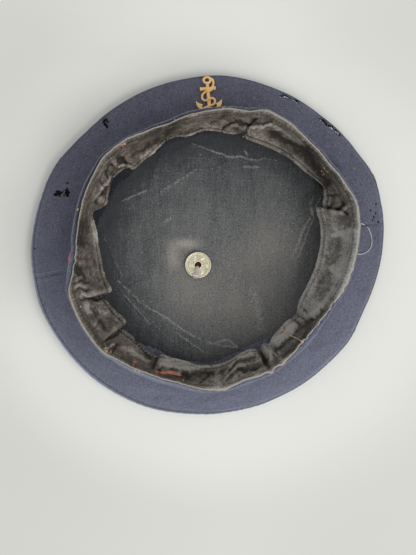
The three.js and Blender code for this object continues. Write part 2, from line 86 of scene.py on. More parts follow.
# %% [markdown]
# ## Light
#
# A pale world, with the pale floor made below, gives the even light of a small studio. One large
# soft lamp, low over the back of the wearer's left, throws a faint shadow to the front and the
# right.

# %% Light
LAMP_PLACE = (-1.85, 1.8, 2.65)
LAMP_SIZE = 3.4
LAMP_WATTS = 80.0
WORLD_COLOUR = (0.8, 0.81, 0.8)
WORLD_STRENGTH = 0.67

scene = bpy.context.scene
scene.view_settings.view_transform = "Standard"
world = bpy.data.worlds.new("studio")
world.use_nodes = True
background = world.node_tree.nodes["Background"].inputs
background["Color"].default_value = (*WORLD_COLOUR, 1)
background["Strength"].default_value = WORLD_STRENGTH
scene.world = world

lamp_data = bpy.data.lights.new("soft_lamp", "AREA")
lamp_data.shape = "DISK"
lamp_data.size = LAMP_SIZE
lamp_data.energy = LAMP_WATTS
lamp = in_scene("soft_lamp", lamp_data)
lamp.location = LAMP_PLACE
lamp.rotation_euler = (-lamp.location).to_track_quat("-Z", "Y").to_euler()
print("lamp", round(lamp.location.length, 2), "m away")

# %% [markdown]
# ## Shader maths as Python
#
# A material is a graph of nodes. Wiring its sums by hand is slow to read, so a `Value` wraps a
# socket and Python's own operators add the Math nodes. Every other node comes from one method,
# `add`, which takes the node's type, its settings, and what goes into its sockets. The same
# method builds Geometry Nodes trees.

# %% A socket that does arithmetic
class Value:
    """One output socket. Arithmetic on it adds Math nodes to its tree."""

    def __init__(self, nodes, socket):
        self.nodes = nodes
        self.socket = socket

    def other(self, name):
        """Another output of the same node."""
        return Value(self.nodes, self.socket.node.outputs[name])

    def math(self, operation, first, second=0.0):
        return self.nodes.add("ShaderNodeMath", {"operation": operation}, {0: first, 1: second})

    def __add__(self, other):
        return self.math("ADD", self, other)

    def __sub__(self, other):
        return self.math("SUBTRACT", self, other)

    def __mul__(self, other):
        return self.math("MULTIPLY", self, other)

    def __truediv__(self, other):
        return self.math("DIVIDE", self, other)

    def __pow__(self, other):
        return self.math("POWER", self, other)

    def __rsub__(self, other):
        return self.math("SUBTRACT", other, self)

    def __rtruediv__(self, other):
        return self.math("DIVIDE", other, self)

    __radd__ = __add__
    __rmul__ = __mul__

    def abs(self):
        return self.math("ABSOLUTE", self)

    def smooth(self, low, high):
        """0 below low and 1 above high, with a soft step between. low may be the larger."""
        settings = {"interpolation_type": "SMOOTHSTEP"}
        return self.nodes.add("ShaderNodeMapRange", settings, {0: self, 1: low, 2: high})


# %% One method for every other node
class Nodes:
    """Adds nodes to one tree, for a material or for Geometry Nodes."""

    def __init__(self, tree):
        self.tree = tree

    def link(self, value, socket):
        if isinstance(value, Value):
            self.tree.links.new(value.socket, socket)
        elif hasattr(socket, "default_value"):
            is_colour = socket.type == "RGBA" and len(value) == 3
            socket.default_value = (*value, 1) if is_colour else value

    def add(self, kind, settings=None, inputs=None, output=0):
        node = self.tree.nodes.new(kind)
        for name, setting in (settings or {}).items():
            if name == "stops":
                self.set_stops(node.color_ramp, setting)
            else:
                setattr(node, name, setting)
        for name, value in (inputs or {}).items():
            self.link(value, node.inputs[name])
        return Value(self, node.outputs[output]) if len(node.outputs) else node

    def set_stops(self, ramp, stops):
        while len(ramp.elements) < len(stops):
            ramp.elements.new(1)
        for element, (place, colour) in zip(ramp.elements, stops):
            element.position = place
            element.color = (*colour, 1)

    def mix(self, share, first, second):
        """A colour between two colours."""
        settings = {"data_type": "RGBA"}
        return self.add("ShaderNodeMix", settings, {0: share, 6: first, 7: second}, output=2)


print("any node comes from add")

# %% A material
class Finish(Nodes):
    """A material with one Principled shader."""

    def __init__(self, name, **constants):
        self.material = bpy.data.materials.new(name)
        self.material.use_nodes = True
        super().__init__(self.material.node_tree)
        self.shader = self.tree.nodes["Principled BSDF"]
        self.where = self.add("ShaderNodeTexCoord").other("Object")
        for name, value in constants.items():
            self.set(name.replace("_", " "), value)

    def set(self, name, value):
        self.link(value, self.shader.inputs[name])

    def noise(self, size, where=None, detail=2.0, rough=0.5, warp=0.0):
        """Noise whose lumps are about size metres across."""
        values = {"Vector": where or self.where, "Scale": 1 / size, "Detail": detail}
        values.update({"Roughness": rough, "Distortion": warp})
        return self.add("ShaderNodeTexNoise", {}, values)

    def attribute(self, name, output="Fac"):
        return self.add("ShaderNodeAttribute", {"attribute_name": name}).other(output)

    def axis(self, name):
        """One of the object coordinates, in metres."""
        return self.add("ShaderNodeSeparateXYZ", {}, {0: self.where}).other(name)

    def stretch(self, x, y, z):
        """Object coordinates stretched along the axes."""
        inputs = {"Vector": self.where, "Scale": (x, y, z)}
        return self.add("ShaderNodeMapping", {}, inputs)

    def bump(self, height, metres, strength=1.0):
        """Raises the surface by metres where height is 1."""
        inputs = {"Height": height, "Distance": metres, "Strength": strength}
        self.set("Normal", self.add("ShaderNodeBump", {}, inputs))


print("shader helpers ready")

# %% [markdown]
# ## Floor
#
# The floor is plain, but its colour holds painted light and shade: it is painted paler towards the
# lamp, in a ring round the cap and in front of it, painted dimmer far away and at the sides, and a
# painted shadow lies beside the cap at +X. The colour is mixed from soft steps along and across it,
# and a very faint mottle keeps it from looking like a flat backdrop.

# %% Floor
FLOOR_RADIUS = 4.0
FLOOR_DIM = (0.645, 0.645, 0.615)
FLOOR_BRIGHT = (0.95, 0.945, 0.9)

floor_finish = Finish("pale_floor", Roughness=0.9)
mottle = floor_finish.noise(0.6, detail=1)
across, back = floor_finish.axis("X"), floor_finish.axis("Y")
away = (across * across + back * back) ** 0.5
right = across.smooth(0.0, -0.1)
# Painted light and shade: paler towards the lamp and in front of the cap, a painted pool of light
# round the cap, a painted shadow beside it at +X and painted dimming far away.
lit = across.smooth(0.16, -0.16) * back.smooth(-0.16, -0.04) - back.smooth(0.09, 0.16) * 0.15
lit = lit + back.smooth(-0.06, -0.2) * (across.abs().smooth(0.14, 0.03) + 0.3) * 1.2
halo = away.smooth(0.178, 0.125) * (1 - right * 0.6) * (1 - back.smooth(-0.11, -0.13) * 0.5)
shade = across.smooth(0.1, 0.13) * back.abs().smooth(0.07, 0.01) * 0.28
shade = shade + away.smooth(0.135, 0.19) * 0.13
shade = shade + away.smooth(0.14, 0.22) * right * back.smooth(-0.05, 0.1) * 0.25 + mottle * 0.08
share = 0.5 + lit * 0.28 + halo * 0.36 - shade
floor_finish.set("Base Color", floor_finish.mix(share, FLOOR_DIM, FLOOR_BRIGHT))

bpy.ops.mesh.primitive_circle_add(vertices=96, radius=FLOOR_RADIUS, fill_type="NGON")
floor = bpy.context.object
floor.name = "floor"
floor.data.materials.append(floor_finish.material)
print("floor radius", FLOOR_RADIUS)

# %% [markdown]
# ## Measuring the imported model
#
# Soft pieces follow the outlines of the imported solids. Places on the cap are given by an angle
# round the head axis, a radius and a height. Angles are in degrees, anticlockwise from -X as seen
# from the opening, so the front is at 90. `outline` reads the outermost or innermost points of packed
# pieces between two heights, at every angle where they have vertices, and joins them by smooth
# closed curves.

# %% Angles and radii
MM = 0.001
HEAD_AXIS = (-2.9 * MM, 3.5 * MM)


def xyz(x, y, z):
    """Points as one array, with x, y and z last."""
    return np.stack(np.broadcast_arrays(x, y, z), axis=-1)


def place(degrees, radius, height):
    """Points from angles, radii and heights."""
    angle = np.radians(degrees)
    return xyz(HEAD_AXIS[0] - radius * np.cos(angle), HEAD_AXIS[1] - radius * np.sin(angle), height)


def polar(points):
    """Angles, radii and heights of points."""
    x = HEAD_AXIS[0] - points[..., 0]
    y = HEAD_AXIS[1] - points[..., 1]
    return np.degrees(np.arctan2(y, x)) % 360, np.hypot(x, y), points[..., 2]


def all_round(count):
    """Angles at even steps round the cap, one to a row."""
    return np.arange(count)[:, None] * 360 / count


def arc(degrees, start, radius):
    """Signed distance round a circle from the angle start."""
    return np.radians((degrees - start + 180) % 360 - 180) * radius


print("head axis at", HEAD_AXIS)

# %% Smooth closed curves
class Closed:
    """A smooth closed curve through values at rising angles."""

    def __init__(self, degrees, values):
        degrees = np.asarray(degrees, float)
        values = np.asarray(values, float)
        self.degrees = np.concatenate([degrees[-3:] - 360, degrees, degrees[:3] + 360])
        self.values = np.concatenate([values[-3:], values, values[:3]])
        self.slopes = np.gradient(self.values, self.degrees)

    def __call__(self, degrees):
        degrees = np.asarray(degrees, float) % 360
        i = np.clip(np.searchsorted(self.degrees, degrees, "right") - 1, 0, len(self.degrees) - 2)
        span = self.degrees[i + 1] - self.degrees[i]
        t = (degrees - self.degrees[i]) / span
        start, end = self.values[i], self.values[i + 1]
        leave, arrive = self.slopes[i] * span, self.slopes[i + 1] * span
        rise = end - start
        bend = (3 - 2 * t) * t * t
        return start + bend * rise + t * (1 - t) * ((1 - t) * leave - t * arrive)


print("between 1 and 3:", float(Closed([0, 90, 180, 270], [1, 3, 1, 3])(45)))

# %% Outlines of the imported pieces
def node_points(node):
    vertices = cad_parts[node].data.vertices
    points = np.empty(3 * len(vertices))
    vertices.foreach_get("co", points)
    return points.reshape(-1, 3)


def outline(nodes, low, high, side=1):
    """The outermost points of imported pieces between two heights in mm, or the innermost where side
    is -1, as closed curves of their radius and of their height."""
    points = np.concatenate([node_points(node) for node in nodes])
    points = points[(points[:, 2] > low * MM) & (points[:, 2] < high * MM)]
    found = {}
    for row in zip(*polar(points)):
        key = round(row[0]) % 360
        if key not in found or side * row[1] > side * found[key][1]:
            found[key] = row
    degrees, *columns = zip(*sorted(found.values()))
    return [Closed(degrees, column) for column in columns]


crown_edge, _ = outline(["crown_top"], 5.0, 5.4)
side_edge, _ = outline(["crown_side_front", "crown_side_back"], 10.0, 10.4)
base_edge, _ = outline(["band"], 16.0, 17.2)
waist_edge, _ = outline(["band"], 43.0, 47.0)
rim_edge, rim_height = outline(["band"], 47.4, 51.0)
allowance_edge, allowance_height = outline(["band"], 9.0, 17.5, side=-1)
print("crown radius at the front in mm:", round(float(crown_edge(90)) / MM, 1))
print("rim radius at the front in mm:", round(float(rim_edge(90)) / MM, 1))

# %% [markdown]
# ## Meshes from grids
#
# Every cloth piece is a wall that runs round the cap, so its surface is a grid: one row of points
# for each angle, each row a closed outline of the wall's section. `grid_piece` joins the rows, and
# `disc_piece` closes a round plate with a point at each middle. Both turn the faces outwards and
# keep named numbers for each point, such as how worn it is, for the materials to read.

# %% Grid meshes
def grid_faces(rows, columns, ring_rows, ring_columns):
    """Corner numbers of the quads of a grid, which may close on itself either way."""
    i = np.arange(rows if ring_rows else rows - 1)[:, None]
    j = np.arange(columns if ring_columns else columns - 1)[None, :]
    next_i, next_j = (i + 1) % rows, (j + 1) % columns
    corners = [i * columns + j, next_i * columns + j, next_i * columns + next_j, i * columns + next_j]
    return np.stack(np.broadcast_arrays(*corners), axis=-1).reshape(-1, 4)


def keep_numbers(mesh, label, values):
    """Keeps a number, or a vector, for each point of a mesh."""
    values = np.ravel(values).astype(np.float32)
    kind = ("FLOAT", "value") if len(values) == len(mesh.vertices) else ("FLOAT_VECTOR", "vector")
    mesh.attributes.new(label, kind[0], "POINT").data.foreach_set(kind[1], values)


def make_piece(name, points, faces, material, **numbers):
    """A smooth-shaded closed object from points and faces, with named numbers for each point."""
    mesh = bpy.data.meshes.new(name)
    mesh.from_pydata(points.reshape(-1, 3).tolist(), [], faces)
    shell = bmesh.new()
    shell.from_mesh(mesh)
    if shell.calc_volume(signed=True) < 0:  # its faces point inwards
        mesh.flip_normals()
    shell.free()
    mesh.shade_smooth()
    for label, values in numbers.items():
        keep_numbers(mesh, label, values)
    mesh.materials.append(material)
    mesh.update()
    return in_scene(name, mesh)


print("quads of a ring of 6 by 4:", len(grid_faces(6, 4, True, True)))

# %% Walls and plates
def grid_piece(name, grid, material, ring_rows=True, **numbers):
    """A closed wall: each row of the grid is a closed section, and the rows make a ring, or a
    strip whose two ends are capped."""
    rows, columns = grid.shape[:2]
    faces = grid_faces(rows, columns, ring_rows, True).tolist()
    if not ring_rows:
        faces.append(list(range(columns)))
        faces.append([(rows - 1) * columns + j for j in reversed(range(columns))])
    return make_piece(name, grid, faces, material, **numbers)


def disc_piece(name, grid, poles, material, **numbers):
    """A closed round plate. Each row of the grid runs from one pole round the edge to the other."""
    rows, columns = grid.shape[:2]
    faces = grid_faces(rows, columns, True, False).tolist()
    for i in range(rows):
        j = (i + 1) % rows
        faces.append([j * columns, i * columns, rows * columns])
        faces.append([(i + 1) * columns - 1, (j + 1) * columns - 1, rows * columns + 1])
    points = np.concatenate([grid.reshape(-1, 3), poles])
    for label, values in numbers.items():
        numbers[label] = np.concatenate([values.ravel(), values[0, [0, -1]]])
    return make_piece(name, points, faces, material, **numbers)


def keep(piece, slot, *nodes):
    """Rides a finished piece on the cap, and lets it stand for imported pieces."""
    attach(piece, "root")
    if nodes:
        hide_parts(*nodes)
    triangles = sum(len(face.vertices) - 2 for face in piece.data.polygons)
    print(piece.name, triangles, "triangles")
    return piece


# %% [markdown]
# Cloth is never quite even. `relief` makes a smooth random height field on a grid, by adding waves
# of chosen lengths with random phases. It closes on itself, so it has no seam round the cap.

# %% Relief
def relief(rows, columns, round_waves, across_waves, seed):
    """Random height field of a grid, about -1 to 1. round_waves and across_waves are the lowest
    and highest number of waves along the rows and along the columns."""
    random = np.random.default_rng(seed)
    round_count = np.abs(np.fft.fftfreq(rows, 1 / rows))[:, None]
    across_count = np.abs(np.fft.fftfreq(columns, 1 / columns))[None, :]
    wanted = (round_count >= round_waves[0]) & (round_count <= round_waves[1])
    wanted = wanted & (across_count >= across_waves[0]) & (across_count <= across_waves[1])
    spectrum = np.where(wanted, np.fft.fft2(random.standard_normal((rows, columns))), 0)
    field = np.fft.ifft2(spectrum).real
    return field / (2 * field.std())


print("lowest point of a relief:", relief(60, 8, (2, 9), (0, 3), 1).min().round(2))

# %% Steps, spots and tables
def unit(vectors):
    """Vectors of length 1 the same way."""
    return vectors / np.linalg.norm(vectors, axis=-1, keepdims=True)


def bump_curve(x, centre, width):
    return np.exp(-(((x - centre) / width) ** 2))


def soft_step(x, low, high):
    t = np.clip((x - low) / (high - low), 0, 1)
    return t * t * (3 - 2 * t)


def from_spot(spot, degrees, radii, share=0.5):
    """Distance from the middle of an oval spot, 1 at a share of its sizes."""
    around = arc(degrees, spot["deg"], radii) / (share * spot["round"] * MM)
    return np.hypot(around, (radii - spot["radius"] * MM) / (share * spot["out"] * MM))


def spotted(spots, column, points):
    """The sum of soft oval spots from a table, at points seen from above."""
    degrees, radii, _ = polar(points)
    return sum(spot[column] * np.exp(-(from_spot(spot, degrees, radii) ** 2)) for spot in spots)


def wavering(points, amount=1.0):
    """Points moved up to 2 mm sideways, so that lines drawn through them waver."""
    x, y = points[..., 0] / MM, points[..., 1] / MM
    across = 1.3 * np.sin(0.31 * y + 1.1) + 0.7 * np.sin(0.83 * y + 0.05 * x)
    along = 1.3 * np.sin(0.29 * x + 0.4) + 0.7 * np.sin(0.91 * x - 0.07 * y)
    moved = points.copy()
    moved[..., 0] += amount * MM * (across + 0.4 * np.sin(1.9 * y - 0.2 * x))
    moved[..., 1] += amount * MM * (along + 0.4 * np.sin(2.1 * x + 0.3 * y))
    return moved


def between(p0, p1, p2, p3, t):
    """A share t of the way from p1 to p2, on the smooth curve through all four."""
    bend = 2 * p0 - 5 * p1 + 4 * p2 - p3
    return p1 + 0.5 * t * (p2 - p0 + t * (bend + t * (3 * (p1 - p2) + p3 - p0)))


def table(columns, rows):
    """Rows of numbers under named columns, as dictionaries."""
    names = columns.split()
    return [dict(zip(names, row)) for row in rows]


print("mesh helpers ready")

# %% [markdown]
# ## Navy wool
#
# The cap is cut from milled wool, a cloth whose weave is hidden under felted fibres. It reads as
# small soft lumps rather than threads, so layers of noise make it: lumps of about a millimetre,
# fine fibres, and broad clouds of fading. Painted light makes the back of the cap paler than its
# front, and painted shade darkens its side towards -X. Along the folded edges the nap is rubbed
# pale. Moth holes are coloured near black, and painted shade darkens the inside of the crown, the
# band's inner face, its seam allowance and a few dents towards the same near black.

# %% Navy wool
# The navy runs from its darkest, for the painted shade at the front, to its palest, for the painted
# light at the back, and the cloth's own clouds of fading move along the same range.
NAVY = (0.112, 0.112, 0.158)
NAVY_DARK = (0.062, 0.063, 0.09)
NAVY_PAINTED_LIGHT_AND_FADED = (0.168, 0.178, 0.24)
NAVY_WORN = (0.26, 0.28, 0.355)
HOLE_AND_PAINTED_SHADE_BLACK = (0.006, 0.006, 0.007)


def wool_finish(name, worn_colour=NAVY_WORN):
    wool = Finish(
        name, Roughness=0.95, Sheen_Weight=0.18, Sheen_Roughness=0.5, Specular_IOR_Level=0.15
    )
    lumps = wool.noise(1.3 * MM, detail=4, rough=0.65)
    fibres = wool.noise(0.55 * MM, detail=3, rough=0.7, warp=0.6)
    clouds = wool.noise(26 * MM, detail=4, rough=0.6)
    # Painted light: the back of the cap, at +Y, is painted paler than its front, and the side towards
    # -X is painted darker; the clouds are the cloth's own fading. The pale fibres thin out towards the
    # back with the painted light.
    back = wool.axis("Y").smooth(-0.09, 0.13)
    painted_light_and_tone = back * 0.8 + clouds.smooth(0.35, 0.75) * 0.35 - wool.axis("X").smooth(-0.05, -0.12) * 0.25
    dark = wool.mix(painted_light_and_tone, NAVY_DARK, NAVY)
    light = wool.mix(painted_light_and_tone, NAVY, NAVY_PAINTED_LIGHT_AND_FADED)
    colour = wool.mix((lumps * 0.7 + fibres * 0.5).smooth(0.44, 0.66), dark, light)
    colour = wool.mix(fibres.smooth(0.55, 0.7) * (0.9 - back * 0.25), colour, NAVY_WORN)
    # One number holds wear and painted light and shade: where positive, the nap is rubbed pale or a
    # spot is painted lighter; where negative, the cloth is painted darker towards near black, as
    # shade. A second number colours moth holes near black and paints the seam allowance near black, as
    # shade.
    worn = wool.attribute("worn")
    colour = wool.mix((worn * (0.45 + lumps)).smooth(0.1, 1.0), colour, worn_colour)
    colour = wool.mix(worn.smooth(0.0, -1.0) * 0.6, colour, HOLE_AND_PAINTED_SHADE_BLACK)
    eaten = wool.attribute("eaten")
    wool.set("Base Color", wool.mix(eaten.smooth(0.3, 0.6), colour, HOLE_AND_PAINTED_SHADE_BLACK))
    wool.bump(lumps * 0.7 + fibres * 0.5, 0.35 * MM, 0.7)
    return wool.material


navy_wool = wool_finish("navy_wool")
print(navy_wool.name, len(navy_wool.node_tree.nodes), "nodes")

# %% [markdown]
# ## Crown
#
# The crown is a flat disc of wool. Its edge turns up in a quarter of an ellipse to the seam with
# the side panels. Each row of the grid runs from the middle of the underside out round the edge
# and back to the middle of the inside, and the seam's stitches pull small puckers into it.

# %% Section of the crown
CROWN_ROWS, FLAT_COLUMNS, TURN_COLUMNS, LIP_COLUMNS = 540, 44, 14, 7
edge_wear = Closed(
    [0, 60, 120, 150, 168, 290, 306, 330], [0.3, 0.25, 0.3, 0.7, 1.0, 1.0, 0.5, 0.3]
)  # how pale the cap's edge is rubbed, by angle
TURN_UP = 9.0 * MM  # how far in the crown's edge starts to turn up
EDGE_HEIGHT = 5.2 * MM  # where it is widest
LIP_HEIGHT = 7.8 * MM
BEAD_RISE = 2.2 * MM
BEAD_GAP = 0.35 * MM
WOOL = 1.8 * MM


def crown_section(degrees):
    """Insets from the crown's edge and heights, from the flat underside round to the inside. Where
    the edge laps past the side panels, it stands up beside them as a bead."""
    turn = np.radians(np.linspace(0, 90, TURN_COLUMNS))
    lip = np.radians(np.linspace(0, 180, LIP_COLUMNS))
    outer = TURN_UP * (1 - np.sin(turn)), EDGE_HEIGHT * (1 - np.cos(turn))
    lap = crown_edge(degrees) - side_edge(degrees)
    wide = WOOL + (lap - BEAD_GAP - WOOL) * soft_step(lap, 0.6 * MM, 0.8 * MM)
    top = LIP_HEIGHT + BEAD_RISE * soft_step(lap, 0.85 * MM, 1.8 * MM)
    over = [wide / 2 * (1 - np.cos(lip)), top - wide / 2 * (1 - np.sin(lip))]
    rise = EDGE_HEIGHT - WOOL
    inner = WOOL + TURN_UP * (1 - np.sin(turn)), WOOL + rise * (1 - np.cos(turn))
    return [
        np.concatenate([outer[k] + 0 * degrees, over[k], inner[k][::-2] + 0 * degrees], axis=1)
        for k in (0, 1)
    ]


def crown_grid():
    degrees = all_round(CROWN_ROWS)
    edge = crown_edge(degrees)
    insets, heights = crown_section(degrees)
    round_edge = place(degrees, edge - insets, heights)
    flat_shares = np.linspace(0.02, 0.98, FLAT_COLUMNS)
    bottom = place(degrees, (edge - TURN_UP) * flat_shares, 0 * degrees)
    top = place(degrees, (edge - WOOL - TURN_UP) * flat_shares[::-4], WOOL + 0 * degrees)
    return np.concatenate([bottom, round_edge, top], axis=1)


smooth_crown = crown_grid()
print("crown grid:", smooth_crown.shape[:2])

# %% Crown
def pucker(grid, height, depth, seed):
    """Pulls small gathers into the surface near a sewn height."""
    waves = relief(grid.shape[0], 1, (90, 190), (0, 0), seed)
    near = bump_curve(grid[..., 2], height, 3 * MM)
    degrees, radii, heights = polar(grid)
    return place(degrees, radii + depth * waves * near, heights)


grid = pucker(smooth_crown, LIP_HEIGHT, 0.12 * MM, seed=3)
lip_worn = 1.3 * edge_wear(polar(grid)[0]) * soft_step(grid[..., 2], 1.0 * MM, 4.5 * MM)
outside = np.arange(grid.shape[1]) < FLAT_COLUMNS + TURN_COLUMNS + LIP_COLUMNS - 1
# The outside's edge is rubbed pale; the whole inside is painted dark, as shade inside the cap.
worn = np.where(outside, lip_worn, -1.0)
poles = np.stack([place(0, 0, 0), place(0, 0, WOOL)])
crown = disc_piece("crown", grid, poles, navy_wool, worn=worn, eaten=0 * worn)
keep(crown, "navy_wool", "crown_top")

# %% [markdown]
# ## Side panels
#
# Two panels slope up from the crown's edge to the band. They are joined by a seam at each side of
# the cap. The cloth dips at a seam and is a little full between them. Moth holes are pits with
# ragged outlines, and the cloth's full thickness shows in their walls.

# %% Moth holes
# Places on the side panels, by angle and by radius in mm. round and out are the hole's sizes in mm
# along the edge and across it.
MOTH_HOLES = table("deg radius round out", [
    (158.5, 100.2, 4, 3), (157.6, 101.2, 2.2, 2), (159.3, 99, 2, 1.5), (159.6, 105.4, 3.4, 4.2),
    (160.4, 106.8, 2.4, 3), (158.9, 103.8, 1.7, 2.2), (155, 102.6, 1.2, 1.2),
    (129.6, 108.8, 3.8, 2.6), (130.3, 106, 1.8, 4.4), (129, 107, 1.5, 2), (64.5, 110.6, 6, 1.9),
    (66, 109, 1.6, 1.2), (60.7, 111.1, 4.6, 1.6), (49.4, 110.4, 6.2, 2.1), (45.9, 110.9, 5.8, 2.2),
    (43.3, 111.4, 5.8, 1.5), (47.6, 109.7, 1.8, 1), (11.6, 106.8, 1.2, 1.1), (9.8, 109, 1.2, 1.2),
    (15.8, 110, 1, 1), (14.2, 105.6, 1.1, 1), (12.8, 108.2, 1.3, 1.1), (10.6, 105.4, 1, 1.1),
    (179.4, 114.6, 0.6, 1.3),
])


def eaten_by_moths(degrees, radii, ragged):
    """1 inside a moth hole and 0 outside, with ragged outlines."""
    depth = np.zeros(np.broadcast(degrees, radii).shape)
    for hole in MOTH_HOLES:
        edge = 1.2 - from_spot(hole, degrees, radii, 0.55) + 0.42 * ragged
        depth = np.maximum(depth, soft_step(edge, 0.2, 0.45))
    return depth


def moth_rims(eaten):
    """1 on the frayed rims of the holes."""
    return bump_curve(eaten, 0.35, 0.22)


print(len(MOTH_HOLES), "moth holes")

# %% Slope of the side panels
SEAM_DEGREES = (9.0, 189.0)
SEAM_GAP = 0.014  # degrees that a panel stops short of each join
STITCH_AWAY = 2.4 * MM  # from a join to the stitches beside it
RING_ROWS = 1100
SEAM_HEIGHT = 10.2 * MM
BASE_HEIGHT = 18.6 * MM
SIDE_COLUMNS = 50
HOLE_DEPTH = 1.3 * MM
# Painted light and shade on the side panels: soft spots at deg and radius in mm, round and out in mm
# along the edge and across it; pale above 0 is painted light, below 0 painted shade, as in the dents.
PAINTED_WOOL_SHADING = table("deg radius round out pale", [
    (36.5, 95, 16, 7, -0.55), (33, 98, 10, 6, -0.3), (62, 104, 16, 10, 0.12),
    (124, 104, 30, 12, -0.18), (146, 102, 16, 12, -0.15), (96, 107, 30, 8, -0.12),
    (205, 106, 24, 14, 0.08), (318, 100, 20, 10, 0.1), (160, 96, 16, 5, -0.3),
    (176, 95, 16, 5, -0.3), (52, 94, 14, 4, -0.25), (20, 99, 12, 5, -0.2),
])


def seam_distance(degrees, radii):
    """Distance along the cloth from the nearer of the two joins."""
    return np.minimum(*(np.abs(arc(degrees, seam, radii)) for seam in SEAM_DEGREES))


def side_surface(degrees, share):
    """Radius and height of the side panels' upper face. share is 0 at the crown and 1 at the band."""
    outer = side_edge(degrees)
    inner = base_edge(degrees) + 0.6 * MM
    full = (1.3 + 0.4 * np.sin(np.radians(5 * degrees))) * MM * np.sin(np.pi * share)
    radii = outer + (inner - outer) * share
    heights = SEAM_HEIGHT + (BASE_HEIGHT - SEAM_HEIGHT) * share + full
    return radii, heights


print("foot of the side panels in mm:", round(float(base_edge(90)) / MM, 1))

# %% Side panels
rubbed_edge = Closed(
    [0, 60, 120, 150, 168, 250, 300, 330], [0.35, 0.3, 0.15, 0.2, 0.3, 0.3, 0.5, 0.5]
)


def side_panel(name, start, end, seed):
    rows = round(RING_ROWS * (end - start) / 360)
    degrees = np.linspace(start + SEAM_GAP, end - SEAM_GAP, rows)[:, None]
    share = np.linspace(0, 1, SIDE_COLUMNS)[None, :] ** 1.35
    radii, heights = side_surface(degrees, share)
    slack = relief(rows, SIDE_COLUMNS, (2, 14), (0, 2), seed)
    dimples = relief(rows, SIDE_COLUMNS, (10, 60), (0, 6), seed + 1)
    ragged = relief(rows, SIDE_COLUMNS, (60, 240), (4, 22), seed + 2)
    middle = np.sin(np.pi * share) ** 0.7
    heights = heights + (0.5 * slack + 0.14 * dimples) * MM * middle
    puckers = relief(rows, 1, (60, 110), (0, 0), seed + 3)
    heights = heights + 0.22 * MM * puckers * np.exp(-share * 8)
    from_seam = seam_distance(degrees, radii)
    heights = heights - 0.1 * MM * np.exp(-((from_seam / (0.8 * MM)) ** 2))
    heights = heights + 0.15 * MM * bump_curve(from_seam, STITCH_AWAY, STITCH_AWAY / 2)
    eaten = eaten_by_moths(degrees, radii, ragged)
    top = place(degrees, radii, heights - HOLE_DEPTH * eaten)

    under_share = np.linspace(1, 0, 10)[None, :]
    under_radii, under_heights = side_surface(degrees, under_share)
    under = place(degrees, under_radii, under_heights - WOOL)
    roll = np.radians(np.linspace(205, 335, 6))[None, :]
    roll_radii = side_edge(degrees) - 0.25 * MM - WOOL / 2 * np.sin(roll) * 0.6
    edge = place(degrees, roll_radii, SEAM_HEIGHT - WOOL / 2 - WOOL / 2 * np.cos(roll[:, ::-1]))
    grid = np.concatenate([top, under, edge], axis=1)

    near_edge = soft_step(-share, -0.2, -0.03) - soft_step(-share, -0.025, -0.008)
    # Rubbed pale by the seams, along the edge and round the moth holes, with the spots of painted
    # light and shade added.
    worn = 0.12 * bump_curve(from_seam, 2.2 * MM, 1.0 * MM)
    worn = worn + rubbed_edge(degrees) * (share < 0.3) * near_edge
    worn = worn + 0.6 * moth_rims(eaten) + spotted(PAINTED_WOOL_SHADING, "pale", top)
    hidden = np.zeros((rows, grid.shape[1] - SIDE_COLUMNS))
    worn, eaten = (np.concatenate([values, hidden], axis=1)[:, ::-1] for values in (worn, eaten))
    return grid_piece(name, grid[:, ::-1], navy_wool, False, worn=worn, eaten=eaten)


front_side = side_panel("side_panel_front", SEAM_DEGREES[0], SEAM_DEGREES[1], seed=11)
back_side = side_panel("side_panel_back", SEAM_DEGREES[1], SEAM_DEGREES[0] + 360, seed=21)
keep(front_side, "navy_wool", "crown_side_front")
keep(back_side, "navy_wool", "crown_side_back")

# %% [markdown]
# ## Ribs of the sweatband
#
# The leather sweatband is 34 mm wide. Its upper edge is rolled over the band's rim and sewn there,
# and the rest hangs free inside. It was cut as long as the rim, but its free edge now lies on a
# smaller circle, so the spare length has set into flaps that fold over each other.
#
# The table holds one rib for each turn of that folded strip. A rib starts on the rim, at the angle
# rim and inset from the rim's edge, and ends on the free edge, at the angle edge and the radius
# reach. Where edge runs backwards, the leather is folded over itself. lift raises the free end,
# and bow bellies the leather outwards.

